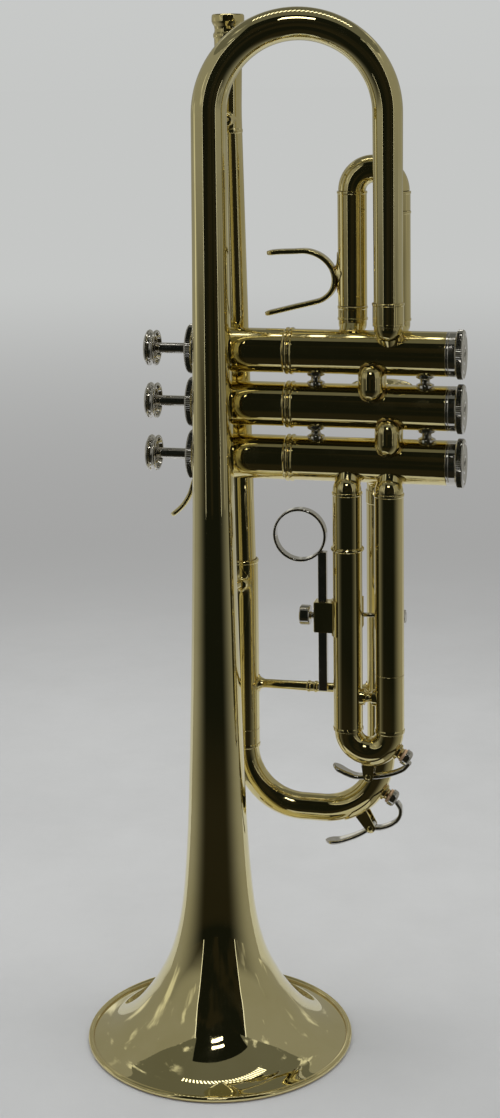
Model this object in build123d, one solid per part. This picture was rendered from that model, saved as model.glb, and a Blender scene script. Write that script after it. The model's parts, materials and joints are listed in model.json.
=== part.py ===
"""B-flat trumpet, standing on its bell rim.

Frame: origin at the centre of the bell rim, on the surface that the rim rests on.
+Z runs up the bell axis, +X towards the bottom valve caps, +Y from the bell towards the leadpipe.
All sizes are in millimetres.
"""
import os
from math import atan2, cos, degrees, hypot, radians, sin

from build123d import *

# ---------------------------------------------------------------- tubing
PORT_R = 5.2            # passages through knuckles and pistons
INNER_BORE_R = 5.83     # 11.65 mm bore of the inner slide tubes
INNER_R = 6.20          # outside of an inner slide tube
OUTER_BORE_R = 6.25     # running fit of 0.05 mm over the inner tube
OUTER_R = 6.70          # outside of an outer slide tube
CROOK_R = 6.35          # outside of a crook
CROOK_BORE_R = 5.80
FERRULE_R = 6.95
KNUCKLE_R = 6.50
NECK_R = 5.9            # the neck from a domed knuckle into its casing
KNUCKLE_RISE = 12.2     # from a valve's axis to the centre of the dome
SLIDE_GAP = 0.10        # gap between a slide's ferrule and the tube that it stops on

# ---------------------------------------------------------------- valves
VALVE_Y = 20.0
VALVE_PITCH = 24.75
VALVE_Z = {1: 320.2, 2: 320.2 - VALVE_PITCH, 3: 320.2 - 2 * VALVE_PITCH}
CASING_R = 10.2
PISTON_BORE_R = 8.50
SPRING_BOX_R = 8.95     # wider bore above the guide ledge
THREAD_R = 9.60
CASING_TOP_X = -14.0
CAP_SEAT_TOP_X = -9.0   # the top cap's skirt ends here
LEDGE_X = 30.0          # the guide rests on this ledge
BEAD_XS = (30.9, 33.0)
CAP_SEAT_END_X = 104.0  # the bottom cap's skirt starts here
CASING_END_X = 108.6
STROKE = 15.0
PISTON_R = 8.45
CAGE_BORE_R = 7.40
PISTON_TOP_X = -12.0
CAGE_TOP_X = -9.5
CAGE_END_X = 34.0
PISTON_END_X = 93.0
GUIDE_X = (27.0, LEDGE_X)
STEM_R = 2.50
BUTTON_X = -33.0        # seat of the finger button on its stem
PASSAGE_X = (48.0, 63.2, 78.4)
PASSAGE_TURNS = {1: (90, 40, 145), 2: (0, 90, 0), 3: (90, 30, 25)}
SPRING_R = 5.5
SPRING_WIRE_R = 0.45
SPRING_TURNS = 9

# ---------------------------------------------------------------- bell
BELL_WALL = 0.6
RIM_R = 61.5            # 123 mm across the rolled rim
RIM_BEAD_R = 1.35
BELL_PROFILE = (        # height and outside radius of the bell
    (1.2, 59.4), (4.0, 51.0), (10.0, 42.6), (18.0, 35.3), (28.0, 28.6), (42.0, 21.9),
    (60.0, 17.4), (85.0, 14.8), (120.0, 13.0), (180.0, 11.15),
)
FLARE_TOP_Z = 180.0
STEM_PROFILE = ((180.0, 11.15), (260.0, 9.5), (345.0, 8.57), (428.5, 8.04))
BOW_Z = 428.5           # height of the bell bow's centre
BOW_R = 39.72
TAIL_Y = 12.5           # the bow's plane is turned, towards the valves
TAIL_TOP_R = 6.80
TAIL_R = 6.50
TAIL_STRAIGHT_Z = 352.0
TAIL_END_Z = 338.8
TAIL_FERRULE_Z = (333.5, 344.1)
TAIL_KNUCKLE_Z = VALVE_Z[1] + KNUCKLE_RISE

# ---------------------------------------------------------------- leadpipe and main slide
LEAD_Y = 38.0
RECEIVER_TOP_Z = 474.0
RECEIVER_END_Z = 419.0
RECEIVER_X = 0.1
RECEIVER_BORE_R = 5.30
RECEIVER_BORE_DEPTH = 24.0
LEAD_X_LOW = 4.7        # the leadpipe leans from RECEIVER_X to here
LEAD_END_Z = 212.0
LEAD_OUTSIDE = (6.05, 5.15)   # radius at the low end and inside the receiver
LEAD_BORE = (5.5, 4.5)
MAIN_X = (4.9, 70.6)    # upper and lower legs of the main slide
MAIN_OUTER_Z = (135.0, 217.5)
MAIN_FERRULE_END_Z = 124.3
MAIN_BOW_R = 28.0
MAIN_BOW_Z = 126.0
MAIN_KNUCKLE_Z = VALVE_Z[3] - 12.0
MAIN_BRACE_Z = 157.0

# ---------------------------------------------------------------- valve slides
FIRST_Y = 28.5         # behind the tail of the bell
FIRST_X = (59.5, 79.5)
FIRST_KNUCKLE_Z = VALVE_Z[1] + KNUCKLE_RISE
FIRST_LINE_Z = 334.0    # the knuckles end here and the slide tubes start
FIRST_STUB_Z = 340.5
FIRST_OUTER_Z = 384.1
FIRST_FERRULE_Z = 393.1
SECOND_X = (59.5, 79.5)
SECOND_OUTER_Y = 46.0
SECOND_FERRULE_Y = 51.0
THIRD_Y = 12.5
THIRD_X = (59.3, 78.5)
THIRD_KNUCKLE_Z = VALVE_Z[3] - KNUCKLE_RISE
THIRD_LINE_Z = 257.6
THIRD_RING_Z = 230.3
THIRD_OUTER_Z = 173.9
THIRD_FERRULE_Z = 146.5
THIRD_BOW_Z = 146.5
THIRD_BRACE_Z = 162.2

# ---------------------------------------------------------------- finger ring, clamp and lyre holder
RING_CENTER = (37.5, 236.7)
RING_R = (11.1, 12.3)
RING_WIDTH = 5.0
ROD_X = 47.9
ROD_SIDE = 4.0
ROD_Z = (164.3, 229.8)
CLAMP_Z = (192.0, 206.2)
SCREW_Z = 199.1
SCREW_R = 1.5
LYRE_Y = THIRD_Y + 10.2
LYRE_X = (55.2, 64.4)
LYRE_SOCKET = (58.0, 61.6)

# ---------------------------------------------------------------- water keys
KEY_GAP = 0.05


class WaterKey:
    """A sprung lever on the outside of a bend, in the plane y = y."""

    def __init__(self, y, bend_x, bend_z, bend_r, spout_angle, pivot, saddle, blade, arm, cup_r):
        self.y = y
        self.bend = (bend_x, bend_z)
        self.bend_r = bend_r
        self.angle = radians(spout_angle)
        self.pivot = pivot
        self.saddle = saddle
        self.blade = blade
        self.arm = arm
        self.cup_r = cup_r

    def at(self, distance):
        """Point on the spout's axis, at a distance from the bend's centre."""
        x, z = self.bend
        return (x + distance * cos(self.angle), self.y, z + distance * sin(self.angle))


MAIN_RIGHT_X = MAIN_X[1] - MAIN_BOW_R
THIRD_MID_X = (THIRD_X[0] + THIRD_X[1]) / 2
THIRD_BOW_R = (THIRD_X[1] - THIRD_X[0]) / 2
MAIN_KEY = WaterKey(
    y=LEAD_Y, bend_x=MAIN_RIGHT_X, bend_z=MAIN_BOW_Z, bend_r=MAIN_BOW_R, spout_angle=-32,
    pivot=(65.6, 90.7), saddle=(-72, -26),
    blade=((43.6, 82.0), (50.0, 82.6), (57.0, 85.0), (62.5, 88.0)),
    arm=((70.5, 90.4), (75.6, 92.6), (79.0, 96.2), (79.9, 100.4)), cup_r=4.0,
)
THIRD_KEY = WaterKey(
    y=THIRD_Y, bend_x=THIRD_MID_X, bend_z=THIRD_BOW_Z, bend_r=THIRD_BOW_R, spout_angle=-34,
    pivot=(68.9, 125.6), saddle=(-102, -22),
    blade=((52.3, 129.5), (56.7, 126.8), (61.3, 124.8), (65.9, 124.4)),
    arm=((73.5, 125.4), (79.6, 127.0), (85.2, 129.5)), cup_r=3.7,
)
SPOUT_R = 2.6
SPOUT_BORE_R = 1.6
SPOUT_RISE = 2.4
CORK_LENGTH = 2.4
CUP_LENGTH = 3.4
PIN_R = 1.0
EAR_Y = (2.6, 3.5)
LEVER_HALF = 2.5
BLADE_T = 2.0
STRAP_T = 2.5        # thickness of the thumb saddle and the pinky hook


# ================================================================ shape helpers
def rod(start, end, radius):
    """Round bar from one point to another."""
    a, b = Vector(*start), Vector(*end)
    bar = Cylinder(radius, (b - a).length, align=(Align.CENTER, Align.CENTER, Align.MIN))
    return Plane(origin=a, z_dir=b - a) * bar


def pipe(start, end, outside, bore):
    """Round tube from one point to another."""
    return rod(start, end, outside) - rod(start, end, bore)


def block(x, y, z):
    """Box from three pairs of limits."""
    size = [b - a for a, b in (x, y, z)]
    middle = [(a + b) / 2 for a, b in (x, y, z)]
    return Pos(*middle) * Box(*size)


def turned_x(points, y, z):
    """Solid turned about the line along X at (y, z), from (x, radius) corners."""
    outline = make_face(Polyline(*[(px, pr) for px, pr in points], close=True))
    return Pos(0, y, z) * revolve(outline, Axis.X)


def turned_z(points, x, y):
    """Solid turned about the line along Z at (x, y), from (radius, z) corners."""
    outline = make_face(Polyline(*[(pr, 0, pz) for pr, pz in points], close=True))
    return Pos(x, y, 0) * revolve(outline, Axis.Z)


def bend(center, corner, axis, outside, bore, arc):
    """Bent tube: the ring at corner, turned by arc degrees about an axis through center."""
    spin = Vector(*axis)
    arm = Vector(*corner) - Vector(*center)
    ring_plane = Plane(origin=Vector(*corner), x_dir=arm, z_dir=spin.cross(arm))
    ring = ring_plane * Circle(outside)
    if bore:
        ring -= ring_plane * Circle(bore)
    return revolve(ring, Axis(Vector(*center), spin), revolution_arc=arc)


def ribbon(points, y, thickness, half_width):
    """Flat strap whose middle line runs through (x, z) points, centred on y."""
    line = Spline(*[(px, y, pz) for px, pz in points])
    samples = [i / 16 for i in range(17)]
    sides = []
    for side in (1, -1):
        edge = []
        for s in samples:
            place, along = line @ s, line % s
            edge.append(place + Vector(-along.Z, 0, along.X) * (side * thickness / 2))
        sides.append(edge)
    top, low = Spline(*sides[0]), Spline(*sides[1])
    outline = make_face([top, Line(top @ 1, low @ 1), low, Line(low @ 0, top @ 0)])
    return extrude(outline, amount=half_width, both=True, dir=(0, 1, 0))


def group(parts):
    """One node made of several solids."""
    return Compound(children=[solid for part in parts for solid in part.solids()])


def valve_axis(number, x):
    return (x, VALVE_Y, VALVE_Z[number])


def solid_casing(number):
    """The casing with nothing cut out, used to cope what is soldered to it."""
    return rod(valve_axis(number, CASING_TOP_X), valve_axis(number, CASING_END_X), CASING_R)


def diamond_foot(x, y, z, tube_r, toward, long, short, upper=None):
    """Thin diamond flange on an upright tube at (x, y), facing the direction toward."""
    skin = 0.6
    upper = upper or long
    shell = pipe((x, y, z - long - 1), (x, y, z + upper + 1), tube_r + skin, tube_r)
    face = Vector(*toward)
    plane = Plane(origin=(x, y, z), x_dir=face.cross(Vector(0, 0, 1)), z_dir=face)
    prism = extrude(plane * make_face(Polyline(
        (0, upper), (short, 0), (0, -long), (-short, 0), close=True)), amount=tube_r + skin + 1)
    return shell & prism


# ================================================================ bell
def bell_flare():
    outer = [(r, 0, z) for z, r in BELL_PROFILE]
    inner = [(r - BELL_WALL, 0, z) for z, r in BELL_PROFILE]
    skin = make_face([
        Spline(*outer), Line(outer[-1], inner[-1]), Spline(*inner), Line(inner[0], outer[0])])
    return revolve(skin, Axis.Z)


def bell_rim():
    """Rolled wire edge, with a narrow flat to stand on."""
    middle_r = RIM_R - RIM_BEAD_R
    bead = Plane.XZ * Pos(middle_r, RIM_BEAD_R - 0.15) * Circle(RIM_BEAD_R)
    ring = revolve(bead, Axis.Z)
    ring -= block((-RIM_R - 1, RIM_R + 1), (-RIM_R - 1, RIM_R + 1), (-2, 0))
    return ring - bell_flare()


def stem_section(shrink):
    """Stem below the bow, from the flare up to the bow's start."""
    edge = [(r - shrink, 0, z) for z, r in STEM_PROFILE]
    low, high = STEM_PROFILE[0][0], STEM_PROFILE[-1][0]
    face = make_face([
        Spline(*edge), Line(edge[-1], (0, 0, high)), Line((0, 0, high), (0, 0, low)),
        Line((0, 0, low), edge[0])])
    return revolve(face, Axis.Z)


def bow_section(shrink):
    """Half turn of tapering tube, lofted through rings."""
    rings = []
    steps = 12
    start_r, end_r = STEM_PROFILE[-1][1], TAIL_TOP_R
    for i in range(steps + 1):
        turn = radians(180 * i / steps)
        reach = BOW_R * (1 - cos(turn))
        ring_r = start_r + (end_r - start_r) * i / steps - shrink
        flat = Vector(cos(BOW_TURN), sin(BOW_TURN), 0)
        place = flat * reach + Vector(0, 0, BOW_Z + BOW_R * sin(turn))
        heading = flat * sin(turn) + Vector(0, 0, cos(turn))
        across = Vector(-sin(BOW_TURN), cos(BOW_TURN), 0)
        rings.append(Plane(origin=place, x_dir=across, z_dir=heading) * Circle(ring_r))
    return loft(rings)


def tail_section(shrink):
    """Tail below the bow: a taper, then a straight end inside the ferrule."""
    x, y = TAIL_XY
    points = [
        (0, BOW_Z), (TAIL_TOP_R - shrink, BOW_Z), (TAIL_R - shrink, TAIL_STRAIGHT_Z),
        (TAIL_R - shrink, TAIL_END_Z), (0, TAIL_END_Z)]
    return turned_z(points, x, y)


BOW_TURN = atan2(TAIL_Y, 2 * BOW_R)
TAIL_XY = (2 * BOW_R * cos(BOW_TURN), 2 * BOW_R * sin(BOW_TURN))


def bell_bow():
    outer = stem_section(0) + bow_section(0) + tail_section(0)
    inner = stem_section(BELL_WALL) + bow_section(BELL_WALL) + tail_section(BELL_WALL)
    return outer - inner


def tail_ferrule():
    x, y = TAIL_XY
    low, high = TAIL_FERRULE_Z
    lip = 0.25
    sleeve = turned_z([
        (TAIL_R, low), (TAIL_R + 0.55, low), (TAIL_R + 0.55, high - 1.2),
        (TAIL_R + 0.55 + lip, high - 1.0), (TAIL_R + 0.55 + lip, high - 0.3),
        (TAIL_R + 0.4, high), (TAIL_R, high)], x, y)
    return sleeve


# ================================================================ knuckles between tubes and valves
def knuckle(x, y, z, number, end_z, radius, neck_r):
    """Upright tube at (x, y) with a domed end, and a neck from there to the axis of a valve."""
    shape = rod((x, y, end_z), (x, y, z), radius) + Pos(x, y, z) * Sphere(radius)
    return shape + rod((x, y, z), valve_axis(number, x), neck_r)


def hollow_knuckle(x, y, z, number, end_z, neck_r):
    away = 1 if end_z > z else -1
    beyond = sorted((end_z, end_z + away * 2 * KNUCKLE_R))
    skin = knuckle(x, y, z, number, end_z, KNUCKLE_R, neck_r) - solid_casing(number)
    skin -= block((x - 8, x + 8), (y - 8, y + 8), beyond)
    skin -= knuckle(x, y, z, number, end_z + away, PORT_R, PORT_R)
    return max(skin.solids(), key=lambda solid: solid.volume)


def knuckle_places():
    """Tail of the bell, lower leg of the main slide, and both legs of the first and third."""
    places = [(*TAIL_XY, TAIL_KNUCKLE_Z, 1, TAIL_END_Z, NECK_R)]
    places.append((MAIN_X[1], LEAD_Y, MAIN_KNUCKLE_Z, 3, MAIN_KNUCKLE_Z - 5.0, KNUCKLE_R))
    places += [(x, THIRD_Y, THIRD_KNUCKLE_Z, 3, THIRD_LINE_Z, NECK_R) for x in THIRD_X]
    places += [(x, FIRST_Y, FIRST_KNUCKLE_Z, 1, FIRST_LINE_Z, NECK_R) for x in FIRST_X]
    return places


def port_knuckles():
    return group(hollow_knuckle(*place) for place in knuckle_places())


CROSSOVER = {(1, 2): 70.7, (2, 3): 78.2}
CROSSOVER_Y = VALVE_Y - 3.4
CROSSOVER_R = 6.2
CROSSOVER_BORE_Y = VALVE_Y - 2.6    # the bore keeps clear of the third slide's port
CROSSOVER_BORE_R = 4.8
CROSSOVER_DOME_Y = 10.5
CROSSOVER_DOME_R = 5.8
CROSSOVER_DOME_Z = 2.5              # from the middle to the centre of each rounded end


def crossover_rod(pair, y, radius):
    x = CROSSOVER[pair]
    return rod((x, y, VALVE_Z[pair[1]]), (x, y, VALVE_Z[pair[0]]), radius)


def crossover_dome(pair, radius):
    """Rounded front of a crossover, which stands proud of the two casings."""
    x, middle = CROSSOVER[pair], (VALVE_Z[pair[0]] + VALVE_Z[pair[1]]) / 2
    ends = [(x, CROSSOVER_DOME_Y, middle + side * CROSSOVER_DOME_Z) for side in (-1, 1)]
    dome = rod(*ends, radius)
    for place in ends:
        dome += Pos(*place) * Sphere(radius)
        dome += rod(place, (x, CROSSOVER_Y, place[2]), radius)
    return dome


def crossover_knuckles():
    """Short tubes that carry the air from valve to valve."""
    tubes = []
    for pair in CROSSOVER:
        tube = crossover_rod(pair, CROSSOVER_Y, CROSSOVER_R)
        tube += crossover_dome(pair, CROSSOVER_DOME_R)
        tube -= crossover_dome(pair, CROSSOVER_BORE_R)
        tube -= crossover_rod(pair, CROSSOVER_BORE_Y, CROSSOVER_BORE_R)
        tubes.append(tube - solid_casing(pair[0]) - solid_casing(pair[1]))
    return group(tubes)


# ================================================================ valve casings and caps
def ports(number):
    """Everything that opens into one casing."""
    cuts = [crossover_rod(pair, CROSSOVER_BORE_Y, CROSSOVER_BORE_R)
            for pair in CROSSOVER if number in pair]
    for x, y, z, casing_number, _, _ in knuckle_places():
        if casing_number == number:
            cuts.append(rod(valve_axis(number, x), (x, y, z), PORT_R))
    if number == 2:
        for x in SECOND_X:
            cuts.append(rod(valve_axis(2, x), (x, VALVE_Y + 14, VALVE_Z[2]), PORT_R))
    return cuts


def valve_casing(number):
    points = [
        (CASING_TOP_X, PISTON_BORE_R), (CASING_TOP_X, THREAD_R), (CAP_SEAT_TOP_X, THREAD_R),
        (CAP_SEAT_TOP_X, CASING_R), (CAP_SEAT_END_X, CASING_R), (CAP_SEAT_END_X, THREAD_R),
        (CASING_END_X, THREAD_R), (CASING_END_X, PISTON_BORE_R)]
    body = turned_x(points, VALVE_Y, VALVE_Z[number])
    for x in BEAD_XS:
        bead = Plane.XY * Pos(x, CASING_R - 0.35) * Circle(1.0)
        cut = rod((x - 2, 0, 0), (x + 2, 0, 0), CASING_R - 0.3)
        ring = revolve(bead, Axis.X) - cut
        body += Pos(0, VALVE_Y, VALVE_Z[number]) * ring
    top, ledge = valve_axis(number, CASING_TOP_X), valve_axis(number, LEDGE_X)
    body -= rod(top, ledge, SPRING_BOX_R)
    for cut in ports(number):
        body -= cut
    return body


def top_cap(number):
    z = VALVE_Z[number]
    seat = CASING_TOP_X - 0.2
    return turned_x([
        (CAP_SEAT_TOP_X, THREAD_R), (CAP_SEAT_TOP_X, 10.7), (-9.8, 10.9), (-12.2, 10.9),
        (-12.6, 11.5), (-15.2, 11.5), (-15.6, 11.1), (-15.6, 7.0), (-16.4, 6.2),
        (-17.3, 5.4), (-17.3, STEM_R + 0.1), (seat, STEM_R + 0.1), (seat, THREAD_R)],
        VALVE_Y, z)


def bottom_cap(number):
    z = VALVE_Z[number]
    seat = CASING_END_X + 0.1
    return turned_x([
        (CAP_SEAT_END_X, THREAD_R), (CAP_SEAT_END_X, 10.25), (108.4, 10.25), (108.8, 11.2),
        (111.2, 11.2), (111.7, 10.7), (112.0, 9.0), (112.0, 1.6), (110.2, 1.6),
        (110.2, 8.4), (seat, 8.4), (seat, THREAD_R)],
        VALVE_Y, z)


def casing_posts():
    """Waisted pillars soldered between neighbouring casings."""
    posts = []
    for upper, lower, xs in ((1, 2, (43.8, 93.9)), (2, 3, (43.7, 94.6))):
        middle = (VALVE_Z[upper] + VALVE_Z[lower]) / 2
        for x in xs:
            post = turned_z([
                (0, middle - 4.5), (4.1, middle - 4.5), (4.1, middle - 1.7), (2.3, middle - 0.6),
                (2.3, middle + 0.6), (4.1, middle + 1.7), (4.1, middle + 4.5), (0, middle + 4.5)],
                x, VALVE_Y)
            posts.append(post - solid_casing(upper) - solid_casing(lower))
    return group(posts)


# ================================================================ what moves in a valve
def piston(number):
    """Ported piston body with its slotted spring barrel on top."""
    points = [
        (PISTON_TOP_X, STEM_R), (PISTON_TOP_X, 8.4), (CAGE_END_X, 8.4), (CAGE_END_X, PISTON_R),
        (PISTON_END_X, PISTON_R), (PISTON_END_X, 7.2), (CAGE_END_X + 50.5, 7.2),
        (CAGE_END_X + 50.5, 0), (CAGE_END_X, 0), (CAGE_END_X, CAGE_BORE_R),
        (CAGE_TOP_X, CAGE_BORE_R), (CAGE_TOP_X, STEM_R)]
    body = turned_x(points, 0, 0)
    slot = (GUIDE_X[0] - STROKE - 0.4, GUIDE_X[1] + 0.4)
    body -= block(slot, (-10, 10), (-2.5, 2.5))
    for x, turn in zip(PASSAGE_X, PASSAGE_TURNS[number]):
        way = Vector(0, cos(radians(turn)), sin(radians(turn)))
        body -= rod(Vector(x, 0, 0) - way * 12, Vector(x, 0, 0) + way * 12, PORT_R)
    return Pos(0, VALVE_Y, VALVE_Z[number]) * body


def valve_guide(number):
    """Star that rests on the ledge and reaches through the barrel's two slots."""
    guide = rod((GUIDE_X[0], 0, 0), (GUIDE_X[1], 0, 0), CAGE_BORE_R - 0.2)
    guide += block(GUIDE_X, (-8.9, 8.9), (-2.3, 2.3)) & rod((0, 0, 0), (LEDGE_X, 0, 0), 8.9)
    guide -= rod((0, 0, 0), (LEDGE_X + 1, 0, 0), 3.0)
    return Pos(0, VALVE_Y, VALVE_Z[number]) * guide


def valve_spring(number):
    length = GUIDE_X[0] - CAGE_TOP_X - 2 * SPRING_WIRE_R - 0.2
    line = Helix(pitch=length / SPRING_TURNS, height=length, radius=SPRING_R)
    coil = sweep(Plane(origin=line @ 0, z_dir=line % 0) * Circle(SPRING_WIRE_R), path=line)
    upright = Pos(CAGE_TOP_X + SPRING_WIRE_R + 0.1, VALVE_Y, VALVE_Z[number]) * Rot(0, 90, 0)
    return upright * coil


def valve_stem(number):
    shaft = turned_x([
        (BUTTON_X, 0), (BUTTON_X, STEM_R), (CAGE_TOP_X, STEM_R), (CAGE_TOP_X, 0)],
        VALVE_Y, VALVE_Z[number])
    return shaft


def valve_felt(number):
    low, high = CASING_TOP_X - 0.1, PISTON_TOP_X
    return pipe(valve_axis(number, low), valve_axis(number, high), 8.0, STEM_R)


def finger_button(number):
    return turned_x([
        (-36.1, 0), (-36.1, 6.4), (-35.9, 7.6), (-35.3, 8.4), (-34.7, 8.55), (-34.2, 8.2),
        (-33.9, 7.6), (-32.4, 7.6), (-32.1, 8.2), (-31.6, 8.4), (-31.1, 8.2), (-31.0, 7.2),
        (-32.9, 6.6), (-33.3, 4.6), (-32.9, 3.3), (-32.8, STEM_R), (BUTTON_X, STEM_R),
        (BUTTON_X, 0)], VALVE_Y, VALVE_Z[number])


# ================================================================ leadpipe and receiver
def lead_x(z):
    """The leadpipe leans a little: its axis at height z."""
    share = (RECEIVER_TOP_Z - z) / (RECEIVER_TOP_Z - LEAD_END_Z)
    return RECEIVER_X + share * (LEAD_X_LOW - RECEIVER_X)


def receiver():
    top, end = RECEIVER_TOP_Z, RECEIVER_END_Z
    floor = top - RECEIVER_BORE_DEPTH
    shape = turned_z([
        (RECEIVER_BORE_R, top), (6.9, top), (7.5, top - 0.7), (7.6, top - 3.6),
        (7.1, top - 4.6), (6.4, top - 6.0), (6.3, top - 8.0), (6.9, top - 9.2),
        (6.9, top - 10.4), (6.5, top - 11.2), (6.5, top - 16), (5.95, end + 13.0),
        (5.95, end + 2.2), (6.35, end + 1.8), (6.35, end + 0.4), (5.95, end),
        (4.4, end), (4.4, floor - 2), (RECEIVER_BORE_R, floor)], RECEIVER_X, LEAD_Y)
    return shape - lead_cone(*LEAD_OUTSIDE)


def lead_cone(low_r, high_r):
    """Leaning cone, from inside the receiver to inside the main slide's upper tube."""
    start = RECEIVER_END_Z + 8
    low, high = Vector(LEAD_X_LOW, LEAD_Y, LEAD_END_Z), Vector(lead_x(start), LEAD_Y, start)
    aligned = (Align.CENTER, Align.CENTER, Align.MIN)
    return Plane(origin=low, z_dir=high - low) * Cone(
        low_r, high_r, (high - low).length, align=aligned)


def leadpipe():
    return lead_cone(*LEAD_OUTSIDE) - lead_cone(*LEAD_BORE)


# ================================================================ main tuning slide
def main_upper_outer():
    x = MAIN_X[0]
    low, high = MAIN_OUTER_Z
    tube = turned_z([
        (OUTER_BORE_R, low), (OUTER_R, low), (OUTER_R, high - 1.6), (OUTER_R + 0.3, high - 1.4),
        (OUTER_R + 0.3, high - 0.4), (OUTER_R, high), (5.5, high), (5.5, LEAD_END_Z - 0.4),
        (OUTER_BORE_R, LEAD_END_Z - 0.4)], x, LEAD_Y)
    return tube - lead_cone(*LEAD_OUTSIDE)


def main_lower_outer():
    x, low = MAIN_X[1], MAIN_OUTER_Z[0]
    high = MAIN_KNUCKLE_Z - 5.0
    return turned_z([
        (OUTER_BORE_R, low), (OUTER_R, low), (OUTER_R, high - 6.5), (FERRULE_R, high - 6.0),
        (FERRULE_R, high), (OUTER_BORE_R, high)], x, LEAD_Y)


def main_brace():
    """Round stay with a collar, between the two outer tubes."""
    left, right = MAIN_X[0] + OUTER_R, MAIN_X[1] - OUTER_R
    middle = (left + right) / 2
    stay = turned_x([
        (left - 1.5, 0), (left - 1.5, 2.1), (left + 1.0, 2.1), (middle - 1.2, 2.3),
        (middle - 1.0, 2.75), (middle + 1.0, 2.75), (middle + 1.2, 2.3), (right - 1.0, 2.1),
        (right + 1.5, 2.1), (right + 1.5, 0)], LEAD_Y, MAIN_BRACE_Z)
    feet = diamond_foot(MAIN_X[0], LEAD_Y, MAIN_BRACE_Z, OUTER_R, (1, 0, 0), 4.3, 5.6)
    feet += diamond_foot(MAIN_X[1], LEAD_Y, MAIN_BRACE_Z, OUTER_R, (-1, 0, 0), 4.3, 5.6)
    brace = stay + feet
    for x in MAIN_X:
        brace -= rod((x, LEAD_Y, MAIN_BRACE_Z - 12), (x, LEAD_Y, MAIN_BRACE_Z + 12), OUTER_R)
    return brace


def main_bow():
    """Two quarter bends and a straight between them."""
    left_x = MAIN_X[0] + MAIN_BOW_R
    bottom = MAIN_BOW_Z - MAIN_BOW_R
    left = bend((left_x, LEAD_Y, MAIN_BOW_Z), (MAIN_X[0], LEAD_Y, MAIN_BOW_Z), (0, -1, 0),
                CROOK_R, CROOK_BORE_R, 90)
    right = bend((MAIN_RIGHT_X, LEAD_Y, MAIN_BOW_Z), (MAIN_X[1], LEAD_Y, MAIN_BOW_Z), (0, 1, 0),
                 CROOK_R, CROOK_BORE_R, 90)
    straight = pipe((left_x, LEAD_Y, bottom), (MAIN_RIGHT_X, LEAD_Y, bottom),
                    CROOK_R, CROOK_BORE_R)
    bow = left + right + straight
    bow -= rod(MAIN_KEY.at(MAIN_BOW_R), MAIN_KEY.at(MAIN_BOW_R + 9), SPOUT_BORE_R)
    return bow


def slide_leg(x, top_z, ferrule_top, ferrule_low, y):
    """Inner tube, soldered in a ferrule that stops on the end of the outer tube."""
    inner = pipe((x, y, ferrule_low), (x, y, top_z), INNER_R, INNER_BORE_R)
    ferrule = turned_z([
        (INNER_R, ferrule_low), (FERRULE_R - 0.1, ferrule_low), (FERRULE_R, ferrule_low + 0.5),
        (FERRULE_R, ferrule_low + 1.6), (OUTER_R, ferrule_low + 2.0),
        (OUTER_R, ferrule_top), (INNER_R, ferrule_top)], x, y)
    return inner + ferrule


def main_legs():
    """The legs end above the bow, whose ends they meet."""
    upper_top, lower_top = LEAD_END_Z - 4.0, MAIN_KNUCKLE_Z - 14.0
    ferrule_top = MAIN_OUTER_Z[0] - SLIDE_GAP
    tops = zip(MAIN_X, (upper_top, lower_top))
    return group(slide_leg(x, top, ferrule_top, MAIN_BOW_Z, LEAD_Y) for x, top in tops)


# ================================================================ water keys
def key_saddle(key):
    """Plate on the bend with the spout, and a bracket of two ears that holds the pivot pin."""
    x, z = key.bend
    start, end = (radians(a) for a in key.saddle)
    corner = (x + key.bend_r * cos(start), key.y, z + key.bend_r * sin(start))
    skin = 0.55
    plate = bend((x, key.y, z), corner, (0, -1, 0), CROOK_R + skin, CROOK_R,
                 degrees(end - start))
    reach = key.bend_r + CROOK_R + 12
    outside = rod((x, key.y - 9, z), (x, key.y + 9, z), reach)
    outside -= rod((x, key.y - 9, z), (x, key.y + 9, z), key.bend_r + 2.2)
    plate &= outside
    tube_side = key.bend_r + CROOK_R
    spout = rod(key.at(tube_side - 0.4), key.at(tube_side + SPOUT_RISE), SPOUT_R)
    px, pz = key.pivot
    turn = atan2(pz - z, px - x)
    foot = (x + (tube_side - 1.5) * cos(turn), z + (tube_side - 1.5) * sin(turn))
    ears = None
    for side in (1, -1):
        inner, outer = sorted((side * EAR_Y[0], side * EAR_Y[1]))
        ear = rod((px, key.y + inner, pz), (px, key.y + outer, pz), 2.3)
        length = hypot(px - foot[0], pz - foot[1])
        strap = Box(length, outer - inner, 4.6)
        middle = ((px + foot[0]) / 2, key.y + (inner + outer) / 2, (pz + foot[1]) / 2)
        ear += Pos(*middle) * (Rot(0, -degrees(turn), 0) * strap)
        ears = ear if ears is None else ears + ear
    pin = rod((px, key.y - EAR_Y[1] - 0.5, pz), (px, key.y + EAR_Y[1] + 0.5, pz), PIN_R)
    saddle = plate + spout + ears
    saddle -= bend((x, key.y, z), corner, (0, -1, 0), CROOK_R, 0, degrees(end - start))
    saddle -= rod(key.at(key.bend_r), key.at(tube_side + 4), SPOUT_BORE_R)
    return saddle + pin


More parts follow.
